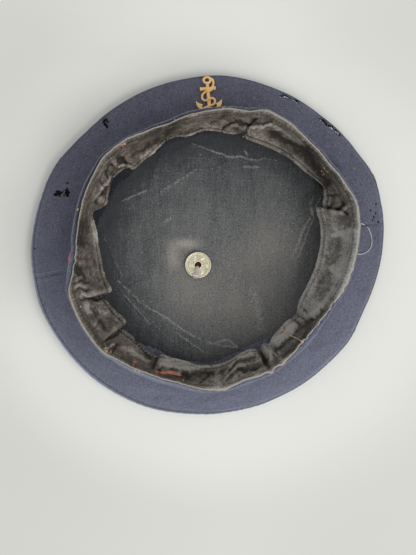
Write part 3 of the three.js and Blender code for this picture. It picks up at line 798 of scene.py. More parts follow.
# %% Ribs of the sweatband
RIM_RADIUS = 88.0  # about, in mm
RIBS = table("rim inset edge reach lift bow", [
    (0, 0.9, 0, 68.2, 0, 3), (7, 0.8, 14, 70.5, 0, 2), (9, 0.7, 19.5, 70.4, 0.7, 2),
    (10.6, 0.7, 22, 72, 1.3, 1), (11.6, 0.7, 18.5, 78, -1, 2.5), (13.2, 0.6, 22.5, 76.2, 0, 3),
    (17, 0.8, 26, 79.4, 0, 3), (24, 1.3, 30.5, 81.4, 0, 2), (38, 1.8, 40, 77.8, 0, 4),
    (51, 1.5, 52, 76, 0, 4), (62, 0.7, 63, 74.6, 0, 3), (68, 0.9, 71.5, 73.6, 0.6, 2),
    (69.8, 1.2, 74, 75.2, 1.2, 1), (71, 1.4, 72.2, 79.2, -0.5, 2), (73.4, 2.2, 76, 77.6, 0, 2),
    (78, 1.9, 80, 75.5, 0, 1), (84, 1.4, 86, 75.5, 0, 2), (94, 2, 94, 77, 0, 4),
    (102, 2.2, 102, 74.9, 0, 3), (110, 2.2, 110, 76.2, 0, 3), (117, 1.7, 118, 74.2, 0, 3),
    (123, 1.2, 124, 72.2, 0, 3), (132, 1.1, 133.4, 71.6, 1, 1), (134.4, 1.2, 135.6, 75, -1, 3),
    (137, 1.4, 138.4, 76.6, 0, 1), (144, 1.9, 144.6, 77.9, 0, 3), (151, 2.5, 151.8, 75.8, 0, 2),
    (155, 2.6, 156, 73.7, 1, 1), (158.4, 2.6, 159, 76, 0, 2), (161.4, 2.7, 162, 80, -1, 3),
    (165, 2.9, 166, 78.2, 0, 2), (171, 3.2, 171.6, 74.4, 0, 3), (180, 3, 181, 72, 0, 3),
    (189, 3.7, 191.5, 70.4, 0, 2), (198, 1.3, 200.8, 68, 1.2, 1), (199.6, 1, 202.4, 70.4, 1.2, 1),
    (200.8, 0.9, 201.4, 76, -0.5, 2.5), (204, 0.8, 205.6, 73.7, 0, 2), (211, 1, 213, 72.2, 0, 3),
    (217.6, 1, 218.8, 70.5, 1, 1), (219.4, 1, 220.4, 72.8, 1, 1), (220.8, 1, 219.6, 76.6, -0.5, 2),
    (224, 1.3, 224.4, 75, 0, 3), (231, 2.3, 231, 75, 0, 3), (242, 2.9, 241.8, 76.8, 0, 3),
    (245.4, 3, 245.6, 73.6, 0.6, 3), (258, 2.8, 258, 73.3, 0, 4), (268, 1.8, 268, 74.2, 0, 3),
    (274, 0.9, 274, 72.8, 0, 3), (279, 2.2, 279.5, 70.7, 0, 3), (285, 2.7, 285, 68.7, 0, 2),
    (290, 1.9, 290, 67.8, 0, 1), (293.8, 2.2, 293.4, 69.1, 1, 1), (295.6, 0.6, 295.2, 72, -1, 2),
    (297.2, 2, 297, 69.2, 0, 1), (299.4, 2, 299.2, 68, 1, -1), (301.6, 1.1, 301.6, 70, 0, 3),
    (305, 2.1, 305, 67.2, 0, 3), (315, 3.5, 315, 66.1, 0, 4), (323, 2.9, 322.5, 67.4, 0, 3),
    (331, 2.4, 330, 64.5, 0, 2), (343, 1.1, 342.6, 64.8, 0, 3),
])


def rib_column(name, rows):
    """A column of RIBS at row numbers that may lie between rows, on a smooth closed curve."""
    count = len(RIBS)
    turn = 360 if name in ("rim", "edge") else 0
    values = np.array([RIBS[i % count][name] + turn * (i // count) for i in range(-2, count + 3)])
    i = np.floor(rows).astype(int) + 2
    return between(*(values[i + k] for k in (-1, 0, 1, 2)), rows % 1)


def even_rows(count):
    """Row numbers of RIBS at even steps along the leather."""
    rows = np.linspace(0, len(RIBS), 8000, endpoint=False)
    rim = place(rib_column("rim", rows), RIM_RADIUS, 0)
    edge = place(rib_column("edge", rows), rib_column("reach", rows), 0)
    steps = [np.linalg.norm(np.diff(line, axis=0, append=line[:1]), axis=1) for line in (rim, edge)]
    travelled = np.concatenate([[0], np.cumsum(steps[0] + steps[1])])
    wanted = np.arange(count) * travelled[-1] / count
    return np.interp(wanted, travelled, np.append(rows, len(RIBS)))


roll_inset = Closed([rib["rim"] for rib in RIBS], [rib["inset"] * MM for rib in RIBS])
print(len(RIBS), "ribs")

# %% [markdown]
# ## Band
#
# The band is two layers of wool folded over at the rim, so its edge is a soft roll, as wide as the
# leather's rolled edge leaves it. Its seam allowance is turned in at the foot, where it shows under
# the sweatband as a frayed flap. The band's outer face has slack, shallow dents, as an empty soft
# cap does.

# %% Shape of the band
BAND_ROWS = 900
BAND_WALL = 2.4 * MM
RIM_SHARE = 0.84  # the waist's share of the way up
FOLD_RISE = 1.2 * MM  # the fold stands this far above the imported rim
OUTER_COLUMNS, FOLD_COLUMNS, INNER_COLUMNS = 34, 9, 12
FLAP_COLUMN = OUTER_COLUMNS + FOLD_COLUMNS + INNER_COLUMNS  # where the seam allowance begins


def band_radius(degrees, share):
    """Outer face of the band at a share of the way up from its foot."""
    base, waist, rim = base_edge(degrees), waist_edge(degrees), rim_edge(degrees)
    lower = base + (waist - base) * share / RIM_SHARE
    upper = waist + (rim - waist) * (share - RIM_SHARE) / (1 - RIM_SHARE)
    bulge = 0.8 * MM * np.sin(np.pi * np.clip(share / RIM_SHARE, 0, 1))
    return np.where(share < RIM_SHARE, lower + bulge, upper)


def band_grid():
    degrees = all_round(BAND_ROWS)
    foot = BASE_HEIGHT - WOOL
    top = rim_height(degrees) + FOLD_RISE
    share = np.linspace(0, 1, OUTER_COLUMNS)[None, :]
    broad = relief(BAND_ROWS, OUTER_COLUMNS, (3, 12), (0, 2), 31)
    dents = broad + 0.35 * relief(BAND_ROWS, OUTER_COLUMNS, (8, 40), (1, 5), 32)
    dents = 0.8 * MM * dents * np.sin(np.pi * np.clip(share / RIM_SHARE, 0, 1))
    climb = foot + (top - FOLD_RISE - foot) * share
    outer = place(degrees, band_radius(degrees, share) + dents, climb)

    fold = np.radians(np.linspace(0, 180, FOLD_COLUMNS + 2))[None, 1:-1]
    half = np.maximum(BAND_WALL, roll_inset(degrees) + 0.4 * MM) / 2
    rim = rim_edge(degrees)
    wobble = 0.14 * MM * relief(BAND_ROWS, FOLD_COLUMNS, (40, 160), (0, 3), 33)
    over_heights = top - BAND_WALL / 2 + BAND_WALL / 2 * np.sin(fold) ** 0.7 + wobble
    over = place(degrees, rim - half + half * np.cos(fold), over_heights)

    back_share = np.linspace(1, 0.08, INNER_COLUMNS)[None, :]
    back_climb = foot + (top - FOLD_RISE - foot) * back_share
    inner = place(degrees, band_radius(degrees, back_share) - BAND_WALL, back_climb)

    frayed = relief(BAND_ROWS, 1, (60, 400), (0, 0), 34)
    frayed = frayed + 0.6 * relief(BAND_ROWS, 1, (12, 40), (0, 0), 35)
    reach = allowance_edge(degrees) + 0.7 * MM * frayed
    drop = allowance_height(degrees)
    in_share = np.linspace(0.12, 1, 10)[None, :]
    start = base_edge(degrees) - BAND_WALL
    crumple = 0.7 * MM * relief(BAND_ROWS, 10, (20, 90), (0, 3), 36) * in_share
    flap_radii = start + (reach - start) * in_share
    flap_heights = foot + (drop - foot) * in_share + crumple
    flap_top = place(degrees, flap_radii, flap_heights + 1.6 * MM)
    flap_under = place(degrees, flap_radii[:, ::-3], flap_heights[:, ::-3] + 0.3 * MM)
    return np.concatenate([outer, over, inner, flap_top, flap_under], axis=1)


grid = band_grid()
print("band grid:", grid.shape[:2])

# %% Wear, painted light and painted shade of the band
# Columns 27 to 46 run over the rim, from the outside to the inside.
worn = np.zeros(grid.shape[:2])
rubbed_rim = 0.36 + 0.24 * relief(BAND_ROWS, 10, (6, 260), (0, 6), 37)
# The rim is rubbed pale. By an angle weight, the rim's outer side gets painted light and its inner
# side painted shade, and the band's inner face below it is painted dark, as shade.
shaded = Closed([0, 60, 90, 180, 196, 300], [0.3, 0.5, 1.0, 1.0, 0.1, 0.2])(polar(grid)[0])
worn[:, 30:40] = rubbed_rim
worn[:, 30:36] += 0.25 * shaded[:, 30:36]
worn[:, 36:40] -= (rubbed_rim[:, :4] + 0.5) * shaded[:, 36:40] * (0.2, 0.7, 1, 1)
worn[:, 27:30] = (rubbed_rim[:, :3] + 0.25 * shaded[:, 27:30]) * (0.3, 0.6, 0.9)
worn[:, 40:47] = -0.35 - 0.2 * shaded[:, 40:47]
# The seam allowance under the sweatband is painted dark, as shade, more on some sides than others,
# through both the wear number and the moth-hole number.
in_dark = Closed([0, 90, 185, 215, 240, 305, 335], [1, 1, 1, 0.7, 0.5, 0.5, 0.8])(polar(grid)[0])
flap_painted_shade = 0.1 - 0.95 * in_dark + 0.3 * relief(*worn.shape, (60, 300), (2, 30), 38)
worn[:, FLAP_COLUMN:] = flap_painted_shade[:, FLAP_COLUMN:]
eaten = 0 * worn
eaten[:, FLAP_COLUMN:] = 0.45 * in_dark[:, FLAP_COLUMN:]
grid, worn, eaten = grid[:, ::-1], worn[:, ::-1], eaten[:, ::-1]
band = grid_piece("band", grid, navy_wool, worn=worn, eaten=eaten)
keep(band, "navy_wool", "band")

# %% [markdown]
# ## Piping
#
# A thin red cord edges the band just below its rim. From above it hides under the fold, but for a
# few places where the band leans out and one where the cord bulges. It is a ring of small circles
# round the band's waist.

# %% Piping
PIPING_RADIUS = 0.6 * MM

red_wool = Finish("red_wool", Roughness=0.9, Sheen_Weight=0.3)
threads = red_wool.noise(0.7 * MM, detail=2)
colour = red_wool.mix(threads.smooth(0.3, 0.7), (0.9, 0.05, 0.08), (1.0, 0.16, 0.2))
red_wool.set("Base Color", colour)
red_wool.bump(threads, 0.2 * MM)

degrees = all_round(BAND_ROWS)
turn = np.radians(np.arange(10) * 36)[None, :]
thick = PIPING_RADIUS * (1 + 0.12 * relief(BAND_ROWS, 1, (60, 200), (0, 0), 41))
bulges = 2.2 * soft_step(degrees, 177.2, 183.6) * soft_step(-degrees, -185.5, -184.6)
hidden = np.minimum(waist_edge(degrees) + 0.35 * MM, rim_edge(degrees) - 2.2 * MM)
middle = hidden + PIPING_RADIUS + 0.5 * MM * bulges
waist_height = BASE_HEIGHT + RIM_SHARE * (rim_height(degrees) + FOLD_RISE - BASE_HEIGHT)
wide = thick + 0.5 * MM * bulges
piping_grid = place(degrees, middle + wide * np.cos(turn), waist_height + thick * np.sin(turn))
piping = grid_piece("piping_cord", piping_grid, red_wool.material)
keep(piping, "red_wool", "piping")

# %% [markdown]
# ## Sweatband: its creases
#
# Each row is one crease, drawn from above as a short line between two places on the leather.
# width is its half-width and depth how far it sinks, both in mm. A negative depth is a ridge.

# %% Creases
CREASES = table("deg radius to_deg to_radius width depth", [
    (2, 87, 4, 79, 4, 0.15), (7.5, 88, 6.5, 78, 3, -0.9), (17.6, 89, 15.6, 84, 1.2, -1),
    (19.4, 88, 17.2, 83, 1.2, 0.9), (21, 82, 19, 77, 1, 0.6), (24, 80, 21.5, 76, 1, -0.6),
    (23, 87, 25, 82, 1.5, 0.5), (30, 83.5, 46, 84.4, 4.5, 1), (46, 84.4, 62, 82.6, 4.5, 1),
    (50, 86.4, 63, 86.4, 2.6, -0.5), (64.6, 86.4, 68, 83.6, 1, -0.9), (68, 83.6, 71.3, 82, 1, -0.7),
    (71.3, 82, 75, 80.8, 1, -0.7), (75, 80.8, 81, 79.6, 1, -0.7), (65, 87.2, 67.6, 85.2, 0.8, 0.9),
    (67.6, 85.2, 71.4, 83.4, 0.8, 0.8), (71.4, 83.4, 77.5, 82.2, 0.8, 0.8),
    (77.5, 82.2, 82, 80.4, 0.8, 0.8), (82, 80.4, 84.8, 78, 0.8, 1),
    (84.8, 78, 85.4, 75.6, 0.8, 0.9), (73, 79.3, 79, 79.5, 0.8, -0.5), (84, 85, 91, 80, 2, 0.5),
    (95, 78, 105, 76.9, 2, 0.5), (98, 75.5, 103, 75, 1.6, -0.4), (106, 82, 112, 78, 2.5, 0.4),
    (113, 76.4, 121, 77.6, 1.5, 0.6), (121, 77.6, 131, 77.4, 1.5, 0.6),
    (117, 74.2, 127, 74.6, 2.6, -0.6), (138, 79.4, 136, 78.4, 0.8, -0.8),
    (136, 78.4, 134.6, 75.6, 0.8, -0.9), (134.6, 75.6, 133.8, 72.6, 0.8, -0.8),
    (136.6, 80.2, 134.8, 78.2, 0.8, 0.7), (134.8, 78.2, 133.2, 74.6, 0.8, 0.5),
    (136, 83.4, 136.6, 81.6, 0.9, 0.7), (139, 82.4, 141, 83.8, 0.8, 1.1),
    (141, 83.8, 143, 83, 0.8, 1.1), (143.6, 83.6, 145.2, 81, 0.9, 0.9),
    (138, 84.6, 138.6, 81, 1, -0.25), (144, 80.1, 151, 80.4, 1.2, -0.45),
    (151, 80.4, 156, 79.6, 1.2, -0.45), (144, 78.8, 152, 78.2, 1.4, 0.9),
    (152, 78.2, 158, 79.4, 1.4, 0.8), (154, 78.6, 156, 74.6, 1.8, -0.15),
    (149, 83, 150, 80.4, 1, 0.5), (168, 83.8, 177, 82.8, 2.6, 0.6), (166, 78, 172, 75.6, 1.6, -0.7),
    (186.4, 85.4, 190, 85, 1.3, 2), (188, 83.2, 192, 82.4, 1.3, 0.8),
    (191.6, 88.6, 190.6, 84.4, 1.1, 0.5), (194, 89.6, 193.2, 84.4, 1.4, 0.4),
    (193.2, 84.4, 195.2, 80.2, 1.4, 0.35), (197.6, 90, 196, 86, 1.2, 0.3),
    (196, 86, 198.6, 81.6, 1.2, 0.4), (195, 88, 196.4, 82.6, 1.8, -0.3),
    (199.4, 89, 199, 84, 1.4, -0.2), (200.4, 85, 203.5, 79.6, 1.1, 0.8),
    (203.5, 79.6, 204.2, 74.4, 1, 0.8), (214.4, 88, 213, 84, 1.2, 0.4),
    (206, 84.6, 216, 83.2, 2.4, 0.45), (220.3, 90, 220.5, 86, 0.8, 0.4),
    (220.5, 86, 221.3, 81.6, 0.8, 0.5), (221.3, 81.6, 220.8, 73.6, 0.8, 0.5),
    (223.4, 90.6, 223.4, 86, 1, -0.8), (225.6, 89, 224.6, 85, 1, 0.7),
    (230, 76, 240, 78.2, 2.4, 0.7), (228, 83.6, 240, 81.6, 2.5, -0.7),
    (243.4, 83, 243.2, 73.4, 1.4, 0.45), (247, 82.8, 258, 80.6, 3, 1), (258, 80.6, 270, 78, 3, 0.8),
    (246, 79.8, 258, 76.8, 1.6, -1), (258, 76.8, 268, 75.2, 1.6, -0.9),
    (247, 82.6, 255, 80.4, 0.7, -0.8), (265, 84, 268, 80, 1.6, 0.5),
    (286.2, 75.6, 280.6, 77, 1, -0.5), (280.6, 77, 276.9, 80.4, 1, -0.5),
    (276.9, 80.4, 273.1, 83.7, 1.2, -0.5), (283.1, 80.1, 278.8, 83, 1, -0.4),
    (291.2, 70.1, 283.8, 71.5, 1, -0.4), (283.8, 71.5, 278.8, 75, 1, -0.4),
    (278.8, 75, 275.6, 79, 1, -0.4), (284, 77.8, 279, 79.8, 1, 0.5), (279, 79.8, 275.4, 83, 1, 0.5),
    (283, 73.6, 278, 77.2, 1, 0.6), (283, 81.4, 288, 80.6, 0.8, -0.45),
    (288, 80.6, 294, 81.4, 0.8, -0.45), (284, 82.6, 294, 82.6, 1, 0.4),
    (282, 76.4, 288, 75.8, 0.8, -0.45), (288, 75.8, 294, 75.8, 0.8, -0.45),
    (283, 78.4, 293, 79.2, 1.6, 0.35), (282, 73.6, 292, 72.6, 1.2, 0.4),
    (284, 71.4, 292, 70.6, 1, -0.5), (295.8, 85.4, 295.6, 78, 2.4, 0.6),
    (295.6, 78, 295.3, 68.6, 2.6, 0.6), (298, 79, 300, 74.6, 1, -1),
    (300, 74.6, 301.4, 78.6, 0.9, -0.9), (299.4, 73.6, 299, 68.6, 0.9, 0.8),
    (302, 84, 303, 75.6, 1.4, -0.3), (303.5, 80.6, 314, 78.4, 2.4, 0.7),
    (314, 78.4, 326, 79.6, 2.4, 0.9), (303, 74.8, 312, 74.2, 2.4, 1),
    (312, 74.2, 320, 75.4, 2.4, 0.9), (304, 71.4, 317, 70.6, 2.2, -0.9),
    (303, 82, 312, 81, 1, -0.6), (319.4, 73.6, 319.6, 67.2, 1.4, 0.5),
    (323.2, 74, 322.4, 68, 1.2, 0.25), (325, 76, 326.6, 70, 1.6, 0.6),
    (326.6, 70, 328.4, 65.8, 1.4, 0.3), (326, 74.6, 333, 77, 2, -1), (333, 77, 342, 80, 2.4, -0.8),
    (322, 76, 330, 79.2, 2.4, 1), (330, 79.2, 337, 82, 2.4, 0.9), (336, 72, 346, 70.4, 2.5, 0.3),
    (348, 81, 351, 77, 3, -0.9), (353, 76, 357, 72, 3, 0.1), (340, 84, 344, 86.4, 1, 0.6),
])


def creased(points):
    """How far creases raise the leather, seen from above."""
    degrees, radii, _ = polar(wavering(points, 0.3))
    height = np.zeros(degrees.shape)
    for crease in CREASES:
        mean_radius = 0.5 * (crease["radius"] + crease["to_radius"]) * MM
        around = arc(degrees, crease["deg"], mean_radius)
        across = radii - crease["radius"] * MM
        end_around = math.radians(crease["to_deg"] - crease["deg"]) * mean_radius
        end_across = (crease["to_radius"] - crease["radius"]) * MM
        length = math.hypot(end_around, end_across)
        along = (around * end_around + across * end_across) / length**2
        nearest = np.clip(along, 0, 1)
        away = np.hypot(around - nearest * end_around, across - nearest * end_across)
        height -= crease["depth"] * MM / (1 + (away / (0.7 * crease["width"] * MM)) ** 2) ** 1.5
    return height


print(len(CREASES), "creases")

# %% [markdown]
# ## Sweatband: its surface
#
# The surface is a fine grid along the folded strip. Creases and a finer random relief move it along
# its own normal, and then it gets its thickness: 0.8 mm of leather, a thick round roll at the rim
# and a rounded free edge. How far a point stands out from its surroundings is kept, because raised
# places are painted pale, as highlights and as rubbed wear, and hollows are painted dark, as shade.

# %% Sweatband surface
LEATHER_WIDTH = 34 * MM
LEATHER_HALF = 0.42 * MM
ROLL_RADIUS = 0.6 * MM
ROLL_RISE = 1.25 * MM
HEM_START = 30.0 * MM  # where the doubled hem begins, from the rolled edge
HEM_GROOVE = 31.2 * MM
SHOULDER = 0.08  # share of the leather's width that goes over the rim
SHOULDER_DROP = 2.2 * MM
LEATHER_ROWS = 1180

wander = 0.3 * MM * relief(720, 1, (30, 130), (0, 0), 50)[:, 0]
degrees = np.arange(720) / 2
wander = wander * (0.35 + 1.1 * bump_curve(degrees, 325, 28) + 1.4 * bump_curve(degrees, 186, 5))
roll_wander = Closed(degrees, wander)


def blend(first, second, share):
    return first + (second - first) * share


def band_wall(degrees, heights):
    """Radius of the band's inner face at a height."""
    foot = BASE_HEIGHT - WOOL
    share = (heights - foot) / (rim_height(degrees) - foot)
    return band_radius(degrees, np.clip(share, 0, 1)) - BAND_WALL


def leather_middle(rows, spans):
    """Points half way through the leather. spans are distances from the rolled edge."""
    rib = {name: rib_column(name, rows) for name in RIBS[0]}
    share = spans / LEATHER_WIDTH
    rim = rim_edge(rib["rim"])
    roll = rim - rib["inset"] * MM + roll_wander(rib["rim"])
    reach = rib["reach"] * MM
    top = rim_height(rib["rim"]) + FOLD_RISE + ROLL_RISE - 0.2 * MM
    shoulder = np.minimum(roll - 1.6 * MM, rim - BAND_WALL - 1.8 * MM)
    foot = top - np.sqrt(LEATHER_WIDTH**2 - (roll - reach) ** 2) + rib["lift"] * MM

    over = np.clip(share / SHOULDER, 0, 1)
    over_radii = (1 - over) ** 2 * roll + (2 * over - over**2) * shoulder
    over_heights = top - SHOULDER_DROP * over**2

    t = np.clip((share - SHOULDER) / (1 - SHOULDER), 0, 1)
    bow = rib["bow"] * MM
    radii_stops = (shoulder, shoulder + 0.4 * bow, blend(shoulder, reach, 0.55) + bow, reach)
    height_stops = (top - SHOULDER_DROP, blend(top, foot, 0.42), blend(top, foot, 0.72), foot)
    weights = ((1 - t) ** 3, 3 * t * (1 - t) ** 2, 3 * t**2 * (1 - t), t**3)
    hang_radii = sum(weight * stop for weight, stop in zip(weights, radii_stops))
    hang_heights = sum(weight * stop for weight, stop in zip(weights, height_stops))
    is_over = share < SHOULDER
    radii = np.where(is_over, over_radii, hang_radii)
    inward = np.clip((roll - radii) / (roll - reach), 0, 1)
    degrees = blend(rib["rim"], rib["edge"], 0.4 * share + 0.6 * inward)
    return degrees, radii, np.where(is_over, over_heights, hang_heights)


print("sweatband width in mm:", LEATHER_WIDTH / MM)

# %% Grid normals and blurring
def row_normals(points):
    """Normals of a grid whose rows make a ring."""
    around = np.roll(points, -1, axis=0) - np.roll(points, 1, axis=0)
    return unit(np.cross(around, np.gradient(points, axis=1)))


def blurred(field, times):
    """The field averaged with its neighbours, several times over."""
    for _ in range(times):
        field = (np.roll(field, 1, axis=0) + field + np.roll(field, -1, axis=0)) / 3
        padded = np.pad(field, ((0, 0), (1, 1)), mode="edge")
        field = (padded[:, :-2] + padded[:, 1:-1] + padded[:, 2:]) / 3
    return field


print("sweatband helpers ready")

# %% Sweatband mesh
roll_spans = ROLL_RADIUS * (1 - np.cos(np.radians(np.linspace(0, 150, 8))))
hang_spans = np.concatenate([np.linspace(2.0, 28.5, 38), np.linspace(29.1, 33.5, 10)]) * MM
end_spans = LEATHER_WIDTH - 0.5 * MM * (1 - np.sin(np.radians([30, 60, 90])))
spans = np.concatenate([roll_spans, hang_spans, end_spans])[None, :]
rows = even_rows(LEATHER_ROWS)[:, None]
leather_degrees, leather_radii, leather_heights = leather_middle(rows, spans)
plain = place(leather_degrees, leather_radii, leather_heights)

size = leather_degrees.shape
broad = relief(*size, (8, 30), (0, 2), 51)
folds = np.abs(relief(*size, (10, 46), (1, 4), 52))
wrinkles = relief(*size, (60, 200), (3, 14), 53)
loose = soft_step(spans, 1.6 * MM, 9 * MM)
rise = 0.75 * creased(plain) + MM * (0.5 * broad - 0.3 * folds) * loose
rise = (rise + 0.07 * MM * wrinkles) * soft_step(spans, 1.2 * MM, 4 * MM)
rise = rise - 0.1 * MM * bump_curve(spans, HEM_GROOVE, 0.5 * MM)
roll_waves = relief(LEATHER_ROWS, 1, (50, 220), (0, 0), 55)
rise = rise + 0.1 * MM * roll_waves * (1 - soft_step(spans, 1.5 * MM, 4 * MM))
normals = row_normals(plain)
middle = plain + normals * rise[..., None]

degrees, radii, heights = polar(middle)
half = LEATHER_HALF * np.sqrt(np.clip((LEATHER_WIDTH - spans) / (0.5 * MM), 0.02, 1))
round_roll = np.sqrt(np.clip(ROLL_RADIUS**2 - (spans - ROLL_RADIUS) ** 2, 0.0, None))
half = half * (1 + 0.3 * soft_step(spans, HEM_START - 0.4 * MM, HEM_START + 0.4 * MM))
half = np.maximum(round_roll, np.where(spans < ROLL_RADIUS, 0.02 * MM, half))
inside = heights < rim_height(degrees)
limit = band_wall(degrees, heights) - 0.35 * MM - half
radii = np.where(inside, np.minimum(radii, limit), radii)
middle = place(degrees, radii, heights)
normals = row_normals(middle)
front = middle + normals * half[..., None]
back = middle - normals * half[..., None]
print("leather rows and columns:", size)

# %% [markdown]
# ## Leather
#
# Old black leather, greyed by handling. Its hollows and creases are painted dark, as shade, and
# its raised places and crests are painted pale grey and beige, as highlights and as rubbed wear.
# Fine cracks and dust make it matt. Sweat and rust have stained it in places, and the roll at the
# rim is worn down to its beige core.

# %% Patches
# Places on the leather, from above. round and out are sizes in mm along the rim and across it.
# pale is how much lighter or, where negative, how much darker it is there.
# The spots paint the light and shade of the folds, as painted highlights and painted shadows, and also
# real pale worn patches.
PATCHES = table("deg radius round out pale", [
    (4, 86, 8, 8, 0.5), (9, 78.6, 12, 5, 0.5), (14, 84, 9, 6, -0.3), (78, 81, 8, 5, -1),
    (44, 79, 14, 4, 0.5), (57, 86.5, 18, 3, 0.5), (40, 84, 26, 6, -0.3), (56, 83, 20, 5, -0.25),
    (30, 80, 20, 8, 0.25), (90, 79, 8, 5, 0.5), (100, 76, 9, 4, 0.3), (112, 82, 20, 5, -0.5),
    (122, 74, 12, 4, 0.4), (104, 83, 14, 4, -0.3), (142, 85, 14, 4, 0.4), (150, 80.4, 8, 2.5, 0.5),
    (148, 76, 7, 4, -0.7), (172, 82, 16, 6, -0.6), (171, 74.8, 12, 2.4, 2.1),
    (166.6, 77.5, 5, 2.6, 1.9), (178, 80, 9, 9, -0.35), (187, 79, 14, 12, -0.4),
    (188, 85, 5, 2.5, -1), (195, 85, 3, 6, 0.2), (205, 86, 9, 4, 1.5), (213, 87, 10, 4, 0.5),
    (209, 79.5, 12, 5, 0.4), (200, 76, 5, 8, -0.3), (231, 81, 16, 8, 0.4), (226, 74, 9, 3, -0.5),
    (248, 76.5, 5, 6, 1.3), (255, 75, 12, 5, 1.2), (264, 74.6, 9, 3, 0.3), (256, 83, 22, 4, -0.4),
    (272, 83, 5, 6, 0.6), (280, 81, 3, 8, 0.4), (276, 77, 7, 8, -0.5), (288, 78.6, 14, 3, -0.3),
    (295.5, 76, 3, 12, -0.2), (286, 83.4, 14, 2.4, 0.7), (299.6, 73.3, 2.4, 3.4, 2),
    (299.5, 80, 4.5, 7, -0.7), (286, 76.5, 18, 9, -0.45), (268, 79, 14, 8, -0.35),
    (308, 79, 14, 7, -0.6), (305, 70, 8, 5, 1.3), (307, 69.6, 6, 2.4, 1.2), (314, 70, 9, 6, 1),
    (318, 79, 12, 6, -0.5), (322.5, 71, 6, 8, -0.6), (330, 73.6, 10, 6, 0.6),
    (353, 83.6, 30, 5, 0.55), (344, 75, 30, 8, -0.45), (1, 77, 18, 8, -0.4), (336, 80, 14, 4, -0.2),
    (284, 79, 22, 13, -0.35), (295.6, 75, 5, 13, -0.5),
])
# Painted light and shade by angle round the cap, with some of the leather's own tone: some sides are
# painted paler than others.
painted_light_and_tone = Closed(
    [0, 16, 45, 90, 135, 180, 225, 270, 315, 345],
    [0.68, 0.3, 0.2, 0.16, -0.22, 0.26, -0.18, 0.68, 0.9, 0.86],
)
STAINS = table("deg radius round out red", [
    (254.4, 81.5, 6, 1.4, 1.4), (251.2, 81.8, 4.5, 1.5, 1.3), (248.6, 82.9, 4.5, 2.4, 1.1),
    (245.6, 84, 4.5, 2.4, 0.8), (235.4, 86.2, 4.2, 2, 0.9), (131, 84.6, 3.5, 4.5, 0.62),
    (132.6, 86.4, 3, 2, 0.5), (100, 82.8, 10, 2, 0.5), (207, 76.6, 3, 1.6, 0.4),
    (283.5, 68.8, 1.2, 1.2, 1), (197, 80, 2, 1, 0.5),
])


def crests(points, out, reach):
    """How sharply a grid of points bends away from its outward side along its rows, per mm."""
    ahead, behind = np.roll(points, -reach, axis=0) - points, np.roll(points, reach, axis=0) - points
    step = np.maximum(np.sum(ahead**2, axis=-1), np.sum(behind**2, axis=-1))
    return -MM * np.sum((ahead + behind) * out, axis=-1) / step


# Painted light and shade: raised places, crests and ridges are painted paler, as highlights and partly
# as rubbed wear, and creases and hollows darker, as shade.
raised = np.clip((rise - blurred(rise, 14)) / (0.25 * MM), -1.2, 1)
drawn = np.clip(creased(plain) / (0.7 * MM), -1.3, 1.2)
crest = np.clip(crests(middle, normals, 4), -1, 1) + np.clip(crests(middle, normals, 2), -0.6, 0.6)
crest = blurred(crest, 2) * (1 - 0.7 * soft_step(spans, 25 * MM, 33 * MM))
pale = 1.15 * spotted(PATCHES, "pale", plain) + 0.4 * raised + 0.6 * drawn + 0.6 * crest * loose
pale = pale + painted_light_and_tone(leather_degrees)
# Lines along the leather: its free edge, the hem's two sides, and the foot of the roll.
for line, width, paleness in (
    (33.2 * MM, 0.6 * MM, 0.42),
    (HEM_START, 0.5 * MM, 0.3),
    (HEM_GROOVE, 0.5 * MM, -0.45),
    (1.7 * MM, 0.4 * MM, -0.25),
):
    pale = pale + paleness * bump_curve(spans, line, width)
stain = spotted(STAINS, "red", plain)
core_width = 1 + 1.2 * bump_curve(leather_degrees, 283, 9)
rolled = 1 - soft_step(spans / core_width, 0.35 * MM, 0.95 * MM)
print("palest and darkest:", round(float(pale.max()), 2), round(float(pale.min()), 2))

# %% Leather finish
LEATHER_DARK = (0.036, 0.032, 0.028)
LEATHER_GREY = (0.152, 0.139, 0.125)
LEATHER_PALE = (0.42, 0.403, 0.382)
LEATHER_CORE = (0.4, 0.38, 0.34)
BROWN_TINT = (1.0, 0.92, 0.845)
RUST = (0.92, 0.33, 0.22)
RIM_DENTS = 268
STRIP_STRETCH = 2.2  # wrinkles are this much longer along the leather than across it

leather = Finish("sweatband_leather", Specular_IOR_Level=0.3)
strip = leather.attribute("strip", "Vector")
mottle = leather.noise(8 * MM, detail=6, rough=0.62, warp=0.5)
grain = leather.noise(1.0 * MM, detail=4, rough=0.7)
specks = leather.noise(0.4 * MM, detail=2, rough=0.6)
veins = 1.0 - (leather.noise(4.5 * MM, strip, detail=4, rough=0.6, warp=0.7) - 0.5).abs() * 16.0
patchy = leather.noise(11 * MM, strip, detail=2)
veins = veins.smooth(0.0, 1.0) * patchy.smooth(0.42, 0.62)
span = leather.attribute("span")
angle = span.math("ARCTAN2", leather.axis("Y") - HEAD_AXIS[1], leather.axis("X") - HEAD_AXIS[0])
dents = span.math("SINE", angle * RIM_DENTS).smooth(0.1, 0.9)
dents = dents * span.smooth(1.6, 2.2) * span.smooth(4.0, 3.2)
pale_here = leather.attribute("pale")
